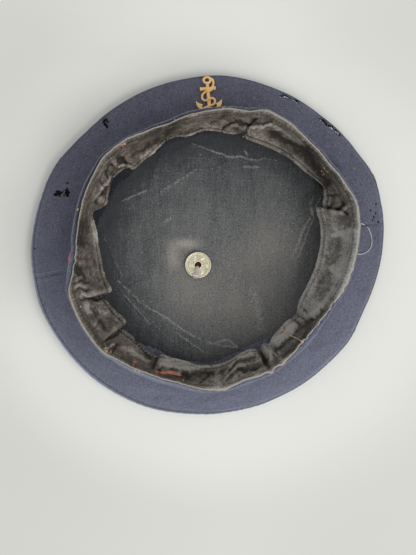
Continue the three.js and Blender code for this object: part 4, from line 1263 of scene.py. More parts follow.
# The pale number carries painted light and shade of the folds besides real wear.
shade = pale_here * (0.26 + grain * 0.72) + mottle + grain * 1.2 + veins * 0.42
shade = shade - dents * 0.5 - 0.79
colour = leather.mix(shade.smooth(-0.15, 0.55), LEATHER_DARK, LEATHER_GREY)
colour = leather.mix(shade.smooth(0.4, 1.2), colour, LEATHER_PALE)
brown = leather.axis("X").smooth(-0.07, 0.0) * 0.75 + leather.axis("Y").smooth(0.0, -0.07) * 0.5
settings = {"data_type": "RGBA", "blend_type": "MULTIPLY"}
colour = leather.add("ShaderNodeMix", settings, {0: brown, 6: colour, 7: BROWN_TINT}, output=2)
dust = (specks * 0.7 + grain * 0.6 + (pale_here - 0.4) * 0.1).smooth(0.76, 0.88)
colour = leather.mix(dust * 0.75, colour, (0.55, 0.55, 0.53))
red = leather.attribute("stain") * (grain * 3.2 - 0.65)
colour = leather.mix(red.smooth(0.35, 0.9), colour, RUST)
core = leather.attribute("rolled") * (0.3 + grain * 1.2)
colour = leather.mix(core.smooth(0.3, 1.0), colour, LEATHER_CORE)
leather.set("Base Color", colour)
leather.set("Roughness", 0.5 + 0.3 * shade.smooth(0.0, 0.8))
leather.bump(grain + mottle * 0.6 + specks * 0.2 + veins * 0.5 - dents * 1.2, 0.4 * MM, 0.8)

print(leather.material.name, len(leather.tree.nodes), "nodes")

# %% [markdown]
# The mesh has a front and a back, which is seen by nobody and so has a third of the points. Each
# point keeps its place on the leather laid out flat, as `strip`, so that the veins follow the hide
# through its folds.

# %% Sweatband piece
def both_faces(face, other):
    return np.concatenate([face, other[:, ::-3]], axis=1)


turn = 2 * np.pi * rows / len(RIBS)
rim_x, rim_y = RIM_RADIUS * MM * np.cos(turn), RIM_RADIUS * MM * np.sin(turn)
strip = xyz(rim_x, rim_y, STRIP_STRETCH * spans)
numbers = dict(pale=pale, stain=stain, rolled=rolled, span=spans / MM + 0 * pale, strip=strip)
numbers = {name: both_faces(values, values) for name, values in numbers.items()}
sweatband = grid_piece("sweatband", both_faces(front, back), leather.material, **numbers)
keep(sweatband, "black_leather", "sweatband")

# %% [markdown]
# ## Lining
#
# The crown is lined with black oilcloth: cotton with a thin coat, now dull and dusty. It has been
# folded many times, so pale creases cross it where the coat has cracked. Each row of the table is
# one stretch of a crease, in mm from the middle of the cap, with its half-width, its height and
# how pale it is.

# %% Lining folds
LINING_HEIGHT = 2.1 * MM
LINING_INSET = 13 * MM
OILCLOTH = 0.9 * MM
disc_low, disc_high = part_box("pierced_disc")
disc_foot = np.array([*(0.5 * (disc_low + disc_high))[:2], disc_low[2]])  # middle of its underside
FOLDS = table("x y to_x to_y width height pale", [
    (55.2, -29.2, 40.2, -35.7, 0.8, 0.3, 0.8), (40.2, -35.7, 30.4, -35, 1, 0.2, 0.25),
    (30.4, -35, 8.2, -49.4, 1.6, 0.3, 0.45), (8.2, -49.4, -5.5, -49.4, 1.2, 0.2, 0.15),
    (-5.5, -49.4, -11.7, -54, 0.9, 0.3, 0.4), (10.2, -66.6, -2.7, -61.8, 0.7, 0.3, 0.7),
    (-2.7, -61.8, -8.8, -60.2, 0.8, 0.3, 0.9), (-8.8, -60.2, -14.7, -57.2, 0.7, 0.3, 0.8),
    (-14.7, -57.2, -21.2, -58.1, 0.8, 0.3, 0.9), (-21.2, -58.1, -31.6, -55.7, 0.7, 0.3, 0.8),
    (-31.6, -55.7, -37.5, -57, 0.7, 0.3, 0.7), (-37.5, -57, -44.7, -55.3, 0.7, 0.2, 0.4),
    (-24.2, -51.6, -33.6, -51.4, 0.7, 0.2, 0.8), (-23.8, -62.6, -26.2, -59.2, 0.6, 0.2, 0.9),
    (-66.7, -18.2, -59.7, -2.4, 0.6, 0.25, 0.7), (-59.7, -2.4, -55.1, 8.7, 0.6, 0.25, 0.4),
    (-69.2, -18, -62.7, -0.4, 0.6, 0.25, 0.5), (-62.7, -0.4, -58.7, 8.7, 0.6, 0.25, 0.4),
    (-67.5, -24.2, -68.7, -19.4, 0.7, 0.2, 1), (-69.5, -33, -67.5, -27.2, 0.5, 0.2, 0.6),
    (68.3, -6.3, 60.4, 10.7, 1.2, 0.3, 0.25), (60.4, 10.7, 56.3, 19.2, 0.8, 0.3, 0.5),
    (59.1, 22.8, 45.4, 35.3, 0.8, 0.3, 0.6), (46.3, 36.2, 32.4, 44.3, 0.42, 0.25, 0.6),
    (32.4, 44.3, 10.2, 58.8, 0.42, 0.25, 0.62), (10.2, 58.8, 5.3, 61.3, 0.5, 0.25, 0.5),
    (2.3, 62.3, -9.8, 65.8, 0.6, 0.2, 0.4), (-9.8, 65.8, -18.6, 66.8, 0.5, 0.2, 0.6),
    (31.3, -56.1, 37.3, -38.3, 2.6, 0.5, 0.35), (29.5, -14, 24, -18, 0.7, 0.1, 0.5),
    (54.6, 32.2, 46.7, 41.4, 0.4, 0.2, 0.65), (46.7, 41.4, 37.6, 51.2, 0.4, 0.2, 0.65),
    (20.6, 57, 2.3, 70.1, 0.4, 0.2, 0.55), (1, 64.9, -12, 61.6, 0.4, 0.2, 0.55),
    (-12, 61.6, -19.9, 66.8, 0.4, 0.2, 0.6), (-76, -35, -66.7, -18.2, 0.5, 0.2, 0.6),
    (50, 27, 38, 22, 3, 0.4, 0.1), (-30, 30, -36, 56, 5, 0.4, 0.25),
])
# Broad spots that are paler or darker: the small ones are real wear, and the broadest and the darker
# ones are painted light and shade. x and y are middles, wide and deep sizes in mm, pale how pale.
WORN_AND_PAINTED_LIGHT_SPOTS = table("x y wide deep pale", [
    (13.6, -1, 16, 6, 2), (23, 7, 8, 16, 1.2), (18, 8, 18, 20, 0.4), (22, 22, 34, 28, 0.35),
    (-18, 12, 44, 34, 0.25), (-12, 36, 40, 22, 0.15), (11, 33, 40, 36, 0.5), (6, -18, 60, 30, 0.2),
    (-36, 2, 40, 36, 0.3), (-30, 48, 18, 26, 0.2), (-18, 32, 10, 34, 0.25),
    (-50, -16, 50, 70, 0.25), (2, 6, 90, 80, 0.5), (-14, 50, 90, 50, 0.65), (-52, 6, 50, 90, 0.6),
    (0, -64, 110, 26, -0.1), (50, -30, 40, 60, -0.1),
])


def folded(points, column):
    """The folds' height or paleness at points."""
    points = wavering(points, 0.25)[..., :2]
    total = np.zeros(points.shape[:-1])
    for fold in FOLDS:
        start = np.array([fold["x"], fold["y"]]) * MM
        run = np.array([fold["to_x"], fold["to_y"]]) * MM - start
        away = points - start
        nearest = np.clip(away @ run / (run @ run), 0, 1)
        distance = np.linalg.norm(away - nearest[..., None] * run, axis=-1)
        near = np.exp(-((distance / (0.5 * MM + 0.7 * fold["width"] * MM)) ** 2))
        total = np.maximum(total, fold[column] * near)
    return total


def rubbed(points):
    """How much paler broad patches of the lining are, by wear and by painted light and shade."""
    total = np.zeros(points.shape[:-1])
    for spot in WORN_AND_PAINTED_LIGHT_SPOTS:
        across = (points[..., 0] - spot["x"] * MM) / (0.5 * spot["wide"] * MM)
        along = (points[..., 1] - spot["y"] * MM) / (0.5 * spot["deep"] * MM)
        total += spot["pale"] * np.exp(-(across**2) - along**2)
    return total


print(len(FOLDS), "folds")

# %% [markdown]
# The mesh is a disc made of rings. It rides over the crown on a gentle swell, as cloth that was
# never quite flat does.

# %% Lining mesh
LINING_ROWS, LINING_COLUMNS = 700, 118

degrees = all_round(LINING_ROWS)
share = np.linspace(0.012, 1, LINING_COLUMNS)[None, :]
swell = 0.5 * np.sin(np.radians(3 * degrees + 40)) + 0.3 * np.sin(np.radians(7 * degrees))
rise = 0.8 * MM * share * (1 + swell) * np.sin(np.pi * share)
reach = crown_edge(degrees) - LINING_INSET
waves = relief(LINING_ROWS, LINING_COLUMNS, (3, 26), (1, 14), 61) * share**0.5
waves = waves * soft_step(1 - share, 0, 0.1)
upper = place(degrees, reach * share, LINING_HEIGHT + OILCLOTH + rise)
upper[..., 2] += folded(upper, "height") * MM + 0.16 * MM * waves
under_disc = np.linalg.norm(upper[..., :2] - disc_foot[:2], axis=-1) < 4 * MM
_, radii, _ = polar(upper)
# Painted shade: the lining is painted darker towards its edge, more on some sides than others, and
# painted paler on the side where the weight is negative.
in_shade = Closed([0, 60, 110, 180, 225, 270, 315], [0.1, 0.45, 0.65, 0.7, 0.5, 0.1, -0.3])(degrees)
edges = 0.4 * soft_step(radii, 50 * MM, 62 * MM) + 0.7 * soft_step(radii, 61 * MM, 72 * MM)
pale = np.where(under_disc, -3, rubbed(upper) - in_shade * edges)
line = folded(upper, "pale")
under = place(degrees, reach * share, LINING_HEIGHT + rise)[:, ::-8]
lining_grid = np.concatenate([upper, under], axis=1)
lining_pale, lining_line = (np.concatenate([part, 0 * under[..., 2]], axis=1) for part in (pale, line))
poles = np.stack([place(0, 0, LINING_HEIGHT + OILCLOTH), place(0, 0, LINING_HEIGHT)])
print("lining grid:", lining_grid.shape[:2])

# %% [markdown]
# The coat is worn to the cotton's thread here and there, so a fine up-and-down weave and a dusting
# of pale specks show. The weave is noise squeezed along one axis, and the specks are fine noise.

# %% Oilcloth finish
OILCLOTH_DARK = (0.04, 0.044, 0.05)
OILCLOTH_GREY = (0.172, 0.174, 0.175)
OILCLOTH_BROWN = (0.215, 0.192, 0.176)
OILCLOTH_PALE = (0.38, 0.37, 0.34)
UNDER_DISC = (0.1, 0.015, 0.008)

oilcloth = Finish("black_oilcloth", Specular_IOR_Level=0.3)
threads = oilcloth.noise(1.0, oilcloth.stretch(1500, 130, 400), detail=3, rough=0.7)
cross_threads = oilcloth.noise(1.0, oilcloth.stretch(160, 1400, 400), detail=2, rough=0.6)
streaks = oilcloth.noise(1.0, oilcloth.stretch(260, 22, 100), detail=4, rough=0.6)
dust = oilcloth.noise(1.1 * MM, detail=5, rough=0.8)
clouds = oilcloth.noise(16 * MM, detail=4, rough=0.55)
bright = oilcloth.attribute("pale")
line = oilcloth.attribute("line") * (dust * 2.1)
specks = oilcloth.noise(0.45 * MM, detail=2, rough=0.6)
shade = threads * 0.9 + cross_threads * 0.4 + dust * 1.9 + clouds * 0.45 + streaks * 0.5
# The grey turns brown where the lining is paler, by wear and by painted light.
worn_and_painted_light_grey = oilcloth.mix((bright + clouds).smooth(1.1, 2.3), OILCLOTH_GREY, OILCLOTH_BROWN)
colour = oilcloth.mix((shade + bright * dust * 1.05).smooth(1.65, 2.8), OILCLOTH_DARK, worn_and_painted_light_grey)
rubbed_through = (line + dust * (1.2 + bright * 0.7) + threads * 0.35 - 0.92).smooth(0.1, 1.1)
colour = oilcloth.mix(rubbed_through, colour, OILCLOTH_PALE)
colour = oilcloth.mix(dust.smooth(0.62, 0.72) * 0.5, colour, OILCLOTH_PALE)
colour = oilcloth.mix((specks + bright * 0.04).smooth(0.6, 0.72) * 0.6, colour, OILCLOTH_PALE)
oilcloth.set("Base Color", oilcloth.mix(bright.smooth(-2.0, -2.7), colour, UNDER_DISC))
oilcloth.set("Roughness", 0.75 - 0.2 * clouds)
oilcloth.bump(threads * 0.6 + dust * 0.6 + cross_threads * 0.3, 0.22 * MM, 0.6)
lining = disc_piece(
    "crown_lining", lining_grid, poles, oilcloth.material, pale=lining_pale, line=lining_line
)
keep(lining, "black_oilcloth", "lining")

# %% [markdown]
# ## Pierced disc
#
# A small pierced nickel disc, like a worn old token, lies on the lining. Its rim and the edge of
# its hole stand proud, and a border of beads and a plain ring of leaves are struck into its face.
# It is made of rings of points whose height is worked out from their radius and angle.

# %% Disc
DISC_FIELD = 0.9  # height of the plain face over the lining, in mm
DISC_RIM = 0.3  # how far the rim stands above it


def struck(degrees, radii):
    """Height of the design above the disc's field, in mm."""
    rim = soft_step(radii, 7.55, 7.8) * DISC_RIM
    hole_edge = soft_step(-radii, -2.9, -2.65) * 0.25
    beads = 0.16 * np.clip(np.cos(np.radians(40 * degrees)), 0, 1) * bump_curve(radii, 7.1, 0.28)
    leaf_turn = np.radians(6 * degrees + 26 * (radii - 4.8))
    leaves = 0.12 * soft_step(np.cos(leaf_turn), 0.15, 0.8) * soft_step(radii, 3.3, 3.7)
    leaves = leaves * soft_step(-radii, -6.5, -6.0)
    berries = 0.22 * soft_step(np.cos(np.radians(12 * degrees + 90)), 0.75, 0.95)
    return rim + hole_edge + beads + leaves + berries * bump_curve(radii, 3.35, 0.25)


DISC_ROWS = 320
degrees = all_round(DISC_ROWS)
radii = np.linspace(2.25, 8.35, 60)[None, :]
face = struck(degrees, radii) + DISC_FIELD + 0.02 * relief(DISC_ROWS, 60, (6, 80), (1, 16), 71)
edge_radii = np.array([[8.45, 8.5, 8.5, 8.4, 8.2, 5.2, 2.3, 2.1, 2.1]])
edge_heights = np.array([[1.1, 0.95, 0.3, 0.1, 0, 0, 0, 0.15, 1.0]])
all_radii = np.concatenate([radii, edge_radii], axis=1) + 0 * degrees
all_heights = np.concatenate([face, edge_heights + 0 * degrees], axis=1)
angle = np.radians(degrees)
disc_grid = disc_foot + MM * xyz(-all_radii * np.cos(angle), -all_radii * np.sin(angle), all_heights)
high_places = (all_heights - DISC_FIELD) / DISC_RIM

nickel = Finish("old_nickel", Metallic=0.85)
tarnish = nickel.noise(2.4 * MM, detail=4)
scratches = nickel.noise(1.0, nickel.stretch(900, 4000, 900), detail=2)
struck_height = nickel.attribute("high")
clean = (struck_height * 0.5 + tarnish * 0.7 + scratches * 0.2).smooth(0.25, 0.85)
nickel.set("Base Color", nickel.mix(clean, (0.6, 0.56, 0.38), (0.95, 0.89, 0.7)))
nickel.set("Roughness", 0.5 - 0.18 * clean)
nickel.bump(scratches + tarnish, 0.05 * MM, 0.4)
disc = grid_piece("pierced_token", disc_grid, nickel.material, high=high_places)
keep(disc, "nickel", "pierced_disc")

# %% [markdown]
# A strip of clear tape, yellowed to a pale pink, comes up through the hole and is stuck down over
# the disc's rim. It is a ribbon along a short bent path.

# %% Tape strip
TIE_DEGREES = 78
TAPE_HALF = 0.12
TAPE_PATH = table("along height width", [
    (0.7, -0.1, 1.7), (0.75, 0.9, 1.8), (1.2, 1.72, 2), (2.6, 1.9, 2.5), (4.6, 1.9, 3),
    (6.2, 1.95, 3.5), (7.2, 2.2, 3.8), (8, 1.95, 3.8), (8.6, 1.55, 3.4), (9.2, 0.7, 2.6),
])


def through_rows(rows, count):
    """Values at even steps along smooth curves through a table's rows, one column each."""
    steps = np.linspace(0, len(rows) - 1, count)
    columns = []
    for name in rows[0]:
        values = np.array([row[name] for row in rows])
        values = np.concatenate([[2 * values[0] - values[1]], values, [2 * values[-1] - values[-2]]])
        i = np.minimum(steps.astype(int), len(rows) - 2) + 1
        columns.append(between(*(values[i + k] for k in (-1, 0, 1, 2)), steps + 1 - i))
    return columns


def turned(points, degrees):
    """Points turned round the Z axis."""
    cos, sin = math.cos(math.radians(degrees)), math.sin(math.radians(degrees))
    x, y = points[..., 0], points[..., 1]
    return xyz(x * cos - y * sin, x * sin + y * cos, points[..., 2])


along, height, width = (values[:, None] for values in through_rows(TAPE_PATH, 60))
side = np.linspace(-0.5, 0.5, 15)[None, :]
curl = 0.12 * np.cos(2 * np.pi * side) + 0.1 * relief(60, 15, (1, 6), (0, 3), 72)
tape = xyz(along, side * width, height + curl)
lift = -TAPE_HALF * unit(np.cross(np.gradient(tape, axis=0), [0.0, 1.0, 0.0]))
sheet = np.concatenate([tape + lift, (tape - lift)[:, ::-1]], axis=1)
tape_grid = disc_foot + MM * turned(sheet, TIE_DEGREES)

tape_finish = Finish("aged_tape", Roughness=0.22, Alpha=0.9, Specular_IOR_Level=0.7)
haze = tape_finish.noise(1.5 * MM, detail=3)
pink = tape_finish.mix(haze, (0.5, 0.4, 0.35), (0.66, 0.56, 0.5))
# A painted highlight, a pale streak where the tape bends over the disc's rim, is mixed in here.
colour = tape_finish.mix(tape_finish.attribute("rubbed"), pink, (0.95, 0.93, 0.9))
tape_finish.set("Base Color", colour)
tape_finish.bump(haze, 0.15 * MM, 0.5)
# The painted highlight: a pale streak across the tape where it bends over the disc's rim.
painted_highlight_ridge = bump_curve(along + 1.2 * side**2, 7.2, 0.35) + 0 * side
painted_highlight_ridge = np.concatenate([0 * painted_highlight_ridge, painted_highlight_ridge[:, ::-1]], axis=1)
tape_piece = grid_piece("tape_strip", tape_grid, tape_finish.material, False, rubbed=painted_highlight_ridge)
keep(tape_piece, "pale_tape", "tie")

# %% [markdown]
# ## Anchor badge
#
# A fouled anchor, an anchor with a rope round it, is a common naval ornament. This one is cast
# brass with a worn gilt wash. It is put together flat, from tubes and a bevelled outline, and a
# voxel remesh then melts the parts into one casting. X runs across the badge, Y up its shank and
# Z out of its face.

# %% Curves and tubes
def curve_through(corners, count):
    """Points along a smooth curve through corners."""
    rows = [dict(x=x, y=y) for x, y in corners]
    return np.stack(through_rows(rows, count), axis=1)


def tube(path, radii, sides=14):
    """A closed tube round a path, as points and faces. Its sections turn with it without a twist."""
    path = np.asarray(path, float)
    along = unit(np.gradient(path, axis=0))
    side = [np.cross(along[0], (0.01, 0.01, 1.0))]
    for way in along[1:]:
        side.append(side[-1] - way * (side[-1] @ way))
    side = unit(np.array(side))
    up = np.cross(side, along)
    turn = np.radians(np.arange(sides) * 360 / sides)[None, :, None]
    radii = np.broadcast_to(radii, len(path))[:, None, None]
    rings = path[:, None] + radii * (np.cos(turn) * side[:, None] + np.sin(turn) * up[:, None])
    faces = grid_faces(len(path), sides, False, True).tolist()
    faces.append(list(range(sides)))
    faces.append([(len(path) - 1) * sides + j for j in reversed(range(sides))])
    return rings.reshape(-1, 3), faces


def joined(parts):
    """Several lists of points and faces as one."""
    points, faces = [], []
    for part_points, part_faces in parts:
        start = sum(len(group) for group in points)
        points.append(part_points)
        faces += [[corner + start for corner in face] for face in part_faces]
    return np.concatenate(points), faces


def finished_mesh(piece):
    """A curve, or a piece with modifiers, as a plain mesh."""
    graph = bpy.context.evaluated_depsgraph_get()
    return bpy.data.meshes.new_from_object(piece.evaluated_get(graph))


print("faces of a short tube:", len(tube([(0, 0, 0), (1, 0, 0)], 0.5)[1]))

# %% Arms and rope of the badge
ROPE = table("x y", [
    (1.9, 1.4), (3.5, 0.1), (4, -1.8), (3.2, -4.9), (2.5, -6.9), (0.6, -8.2), (-2.2, -8.6),
    (-3.9, -10.4), (-4, -12.8), (-2.4, -14.4), (0.2, -14), (2.2, -13), (3.8, -14.4), (3.4, -16.8),
    (1, -18.4), (-2.4, -19.2), (-4.6, -20),
])


def arms():
    """Both arms with their flukes: half an outline from the crown of the anchor out to the tip and
    back, smoothed, mirrored, and swelled towards its middle line."""
    outer = curve_through([(0, -23.4), (3.6, -22.6), (6.4, -20.4), (7.9, -17.8), (8.3, -14.8)], 30)
    inner = curve_through([(8.3, -14.8), (6.4, -16.6), (4.0, -17.6)], 16)[1:]
    barb = curve_through([(4.0, -17.6), (5.0, -18.9), (3.4, -20.6), (0, -21.2)], 20)[1:]
    half = np.concatenate([outer, inner, barb])
    mirrored = half[::-1] * np.array([-1, 1])
    ring = np.concatenate([half[:-1], mirrored[:-1]])
    curve = bpy.data.curves.new("arms", "CURVE")
    curve.dimensions = "2D"
    curve.fill_mode = "BOTH"
    curve.extrude = 0.35
    curve.bevel_depth = 0.45
    curve.bevel_resolution = 3
    curve.offset = -0.35
    spline = curve.splines.new("POLY")
    spline.points.add(len(ring) - 1)
    spline.points.foreach_set("co", np.pad(ring, ((0, 0), (0, 2)), constant_values=1).ravel())
    spline.use_cyclic_u = True
    shape = in_scene("arms", curve)
    mesh = finished_mesh(shape)
    points = np.array([vertex.co for vertex in mesh.vertices])
    faces = [list(face.vertices) for face in mesh.polygons]
    bpy.data.objects.remove(shape)
    points[:, 2] += 0.8
    return points, faces


def rope_strands():
    """Three strands laid round the rope's path."""
    x, y = through_rows(ROPE, 240)
    over_shank = np.exp(-((x / 1.9) ** 2)) * (y < -3)
    path = xyz(x, y, 0.75 + 1.05 * over_shank)
    side = np.cross(unit(np.gradient(path, axis=0)), [0, 0, 1.0])
    travelled = np.cumsum(np.linalg.norm(np.gradient(path, axis=0), axis=1))
    for strand in range(3):
        turn = (travelled / 2.4 * 2 * np.pi + strand * 2 * np.pi / 3)[:, None]
        offset = 0.36 * (np.cos(turn) * side + np.sin(turn) * np.array([0, 0, 1.0]))
        yield tube(path + offset, 0.46, 9)


print("arms and rope ready")

# %% Parts of the badge
STOCK_Y = -6.2
CROWN_Y = -22.0
ring_turn = np.radians(np.linspace(0, 360, 60))
stock_x = np.linspace(-5.1, 5.1, 25)
stock_radius = 1.15 + 0.2 * (np.abs(stock_x) > 4.2)
posts = [tube([(0, y, 0.5), (0, y, -1.0), (0, y, -2.3)], 0.6) for y in (-4.9, -17.5)]
badge_parts = [
    tube(xyz(2.15 * np.cos(ring_turn), 2.15 * np.sin(ring_turn), 0.8), 0.78),
    tube(xyz(0, np.linspace(-1.4, CROWN_Y, 30), 0.75), np.linspace(1.0, 1.3, 30)),
    tube(xyz(stock_x, STOCK_Y, 1.05), stock_radius),
    arms(),
    *rope_strands(),
    *posts,
]
print(len(badge_parts), "parts of the badge")

# %% [markdown]
# The flat badge is laid on the slope of the front side panel, its ring towards the crown's edge.

# %% Badge
RING_SHARE, FOOT_SHARE = 0.14, 0.92
STAND_OFF = 1.1 * MM
OFF_CENTRE = 3.3 * MM
BADGE_LOW = 0.7 * MM
BADGE_TILT = 5.0
BADGE_VOXEL = 0.16 * MM


def badge_place(points):
    ring, foot = (place(90, *side_surface(90, share)) for share in (RING_SHARE, FOOT_SHARE))
    up = unit(ring - foot)
    across = np.array([-1.0, 0.0, 0.0])
    out = np.cross(across, up)
    centre = ring + out * STAND_OFF - across * OFF_CENTRE - up * BADGE_LOW
    return centre + MM * turned(points, BADGE_TILT) @ np.stack([across, up, out])


def apply_modifiers(piece):
    piece.data = finished_mesh(piece)
    piece.modifiers.clear()
    return piece.data


gilt = Finish("worn_gilt", Metallic=0.1)
wear = gilt.noise(1.6 * MM, detail=4)
pits = gilt.noise(0.5 * MM, detail=3)
depth = gilt.attribute("deep")
gold = gilt.mix(wear.smooth(0.35, 0.7), (1.0, 0.57, 0.19), (1.0, 0.75, 0.4))
# Low places are darker: tarnish left in the hollows, and painted shade.
gilt.set("Base Color", gilt.mix((depth * 0.9 + pits * 0.6).smooth(0.4, 1.1), gold, (0.4, 0.18, 0.055)))
gilt.set("Roughness", 0.3 + 0.3 * wear)
gilt.bump(pits + wear, 0.12 * MM, 0.5)

points, faces = joined(badge_parts)
badge = make_piece("fouled_anchor", points * MM, faces, gilt.material)
remesh = badge.modifiers.new("melt", "REMESH")
remesh.mode = "VOXEL"
remesh.voxel_size = BADGE_VOXEL
soften = badge.modifiers.new("soften", "SMOOTH")
soften.factor = 0.5
soften.iterations = 2
mesh = apply_modifiers(badge)
flat_points = np.empty(3 * len(mesh.vertices))
mesh.vertices.foreach_get("co", flat_points)
flat_points = flat_points.reshape(-1, 3) / MM
mesh.vertices.foreach_set("co", badge_place(flat_points).ravel())
keep_numbers(mesh, "deep", soft_step(0.9 - flat_points[:, 2], 0.0, 0.9))
mesh.shade_smooth()
mesh.update()
keep(badge, "gilt_brass", "anchor_badge")

# %% [markdown]
# ## Stitches
#
# Every seam is sewn by the same small stitch, so Geometry Nodes puts them in. The tree takes the
# points where stitches go and the way each one runs, sets a slim capsule on each point, turns
# each a little at random and makes them real. Its inputs are the stitch's length and thickness,
# how untidy the sewing is, the seed and the thread.

# %% Stitch tree
def make_stitch_tree():
    tree = bpy.data.node_groups.new("stitches", "GeometryNodeTree")
    sockets = {}
    tree.interface.new_socket("Geometry", in_out="OUTPUT", socket_type="NodeSocketGeometry")
    kinds = dict(Geometry="Geometry", Length="Float", Thickness="Float", Untidiness="Float")
    for name, kind in (kinds | dict(Seed="Int", Thread="Material")).items():
        socket = tree.interface.new_socket(name, in_out="INPUT", socket_type="NodeSocket" + kind)
        sockets[name] = socket.identifier
    nodes = Nodes(tree)
    given = nodes.add("NodeGroupInput")
    capsule = nodes.add("GeometryNodeMeshUVSphere", {}, {"Segments": 5, "Rings": 4, "Radius": 0.5})
    run = nodes.add("GeometryNodeInputNamedAttribute", {"data_type": "FLOAT_VECTOR"}, {"Name": "run"})
    turn = nodes.add("FunctionNodeAlignRotationToVector", {"axis": "X"}, {"Vector": run})
    untidy = given.other("Untidiness")
    spread = nodes.add("ShaderNodeCombineXYZ", {}, {0: untidy, 1: untidy, 2: untidy})
    back = nodes.add("ShaderNodeVectorMath", {"operation": "SCALE"}, {0: spread, "Scale": -1.0})
    limits = {0: back, 1: spread, "Seed": given.other("Seed")}
    jitter = nodes.add("FunctionNodeRandomValue", {"data_type": "FLOAT_VECTOR"}, limits)
    turn = nodes.add("FunctionNodeRotateRotation", {"rotation_space": "LOCAL"}, {0: turn, 1: jitter})
    thick = given.other("Thickness")
    scale = nodes.add("ShaderNodeCombineXYZ", {}, {0: given.other("Length"), 1: thick, 2: thick})
    values = {"Points": given.other("Geometry"), "Instance": capsule, "Rotation": turn, "Scale": scale}
    copies = nodes.add("GeometryNodeInstanceOnPoints", {}, values)
    real = nodes.add("GeometryNodeRealizeInstances", {}, {"Geometry": copies})
    smooth = nodes.add("GeometryNodeSetShadeSmooth", {}, {"Geometry": real})
    thread = given.other("Thread")
    sewn = nodes.add("GeometryNodeSetMaterial", {}, {"Geometry": smooth, "Material": thread})
    nodes.add("NodeGroupOutput", {}, {0: sewn})
    return tree, sockets


stitch_tree, stitch_sockets = make_stitch_tree()
print("stitch tree with", len(stitch_tree.nodes), "nodes")

# %% Sewing and threads
def sew(name, slot, points, runs, thread, length, thickness, untidiness=0.1, seed=1):
    """Sews stitches at points, each along its run, as one piece."""
    points, runs = points.reshape(-1, 3), runs.reshape(-1, 3)
    mesh = bpy.data.meshes.new(name)
    mesh.from_pydata(points.tolist(), [], [])
    keep_numbers(mesh, "run", runs)
    piece = in_scene(name, mesh)
    modifier = piece.modifiers.new("stitches", "NODES")
    modifier.node_group = stitch_tree
    sizes = dict(Length=length * MM, Thickness=thickness * MM, Untidiness=untidiness)
    for label, value in (sizes | dict(Seed=seed, Thread=thread)).items():
        modifier[stitch_sockets[label]] = value
    apply_modifiers(piece)
    return keep(piece, slot)


def thread_finish(name, dark, light):
    thread = Finish(name, Roughness=0.85)
    twist = thread.noise(0.8 * MM, detail=3)
    thread.set("Base Color", thread.mix(twist.smooth(0.3, 0.7), dark, light))
    thread.bump(twist, 0.1 * MM)
    return thread.material


dark_thread = thread_finish("dark_thread", (0.02, 0.02, 0.028), (0.05, 0.05, 0.07))
navy_thread = thread_finish("navy_thread", (0.1, 0.11, 0.15), (0.24, 0.26, 0.32))
grey_thread = thread_finish("grey_thread", (0.12, 0.11, 0.09), (0.33, 0.31, 0.26))
hem_and_highlight_thread = thread_finish("hem_and_highlight_thread", (0.24, 0.23, 0.2), (0.5, 0.48, 0.44))
tan_thread = thread_finish("tan_thread", (0.52, 0.33, 0.21), (0.78, 0.56, 0.42))
grey_blue_thread = thread_finish("grey_blue_thread", (0.2, 0.21, 0.26), (0.36, 0.37, 0.42))
pale_thread = thread_finish("pale_thread", (0.36, 0.36, 0.39), (0.52, 0.52, 0.54))
white_thread = thread_finish("white_thread", (0.5, 0.5, 0.48), (0.75, 0.75, 0.72))
bright_thread = thread_finish("bright_thread", (0.8, 0.8, 0.8), (0.92, 0.92, 0.92))
print("nine threads")

# %% [markdown]
# Lint, loose threads and repairs lie on whatever is uppermost. `lay` drops places given by angle
# and radius on to the cap from above, and also says which way the surface faces there.

# %% Laying things on the cap
def lay(degrees, radii, lift):
    """Points lift above the cap's uppermost surface, and its normals there."""
    graph = bpy.context.evaluated_depsgraph_get()
    above = place(np.asarray(degrees, float), np.asarray(radii, float), 0.2)
    points, out = [], []
    for start in above.reshape(-1, 3):
        _, spot, normal, _, _, _ = scene.ray_cast(graph, start.tolist(), (0, 0, -1))
        points.append(spot + normal * lift)
        out.append(normal)
    return np.array(points), np.array(out)


def strand(name, slot, rows, radius, thread, lift=0.2):
    """A thin loose thread through places in a table with the columns deg, radius and up, in mm."""
    degrees, radii, up = through_rows(rows, 12 * len(rows))
    points, _ = lay(degrees, radii * MM, lift * MM)
    for _ in range(4):
        points[1:-1] = (points[:-2] + 2 * points[1:-1] + points[2:]) / 4
    points[:, 2] += up * MM
    points, faces = tube(points / MM, radius, 7)
    return keep(make_piece(name, points * MM, faces, thread), slot)


LOOSE_LOOP = table("deg radius up", [
    (10.8, 92.6, 0.6), (10.2, 95.2, 0.8), (9.8, 98.3, 0.4), (7.6, 101.7, 0.2), (3.7, 103.2, 0.1),
    (0.7, 101.9, 0.2), (-0.9, 98.7, 0.3), (-1.6, 95.4, 0.8), (-1.5, 92.4, 0.6),
])
strand("loose_loop", "navy_wool", LOOSE_LOOP, 0.27, white_thread)
SEAM_THREAD = table("deg radius up", [
    (314.3, 80.4, 0), (314.1, 79, 0.1), (313.4, 76.6, 0), (312.3, 73.4, 0), (311.9, 70.2, 0.1),
    (311.5, 67.4, 0.2),
])
strand("seam_thread", "black_leather", SEAM_THREAD, 0.5, tan_thread, 0.1)
THREAD_END = table("deg radius up", [(309.4, 68.6, 0.2), (310.8, 68.2, 0.5), (312.4, 67.6, 0.2)])
strand("seam_thread_end", "black_leather", THREAD_END, 0.85, tan_thread, 0.5)

# %% [markdown]
# Lint is short pale fibres and specks, scattered at random with a fixed seed. The lining has
# caught the most.

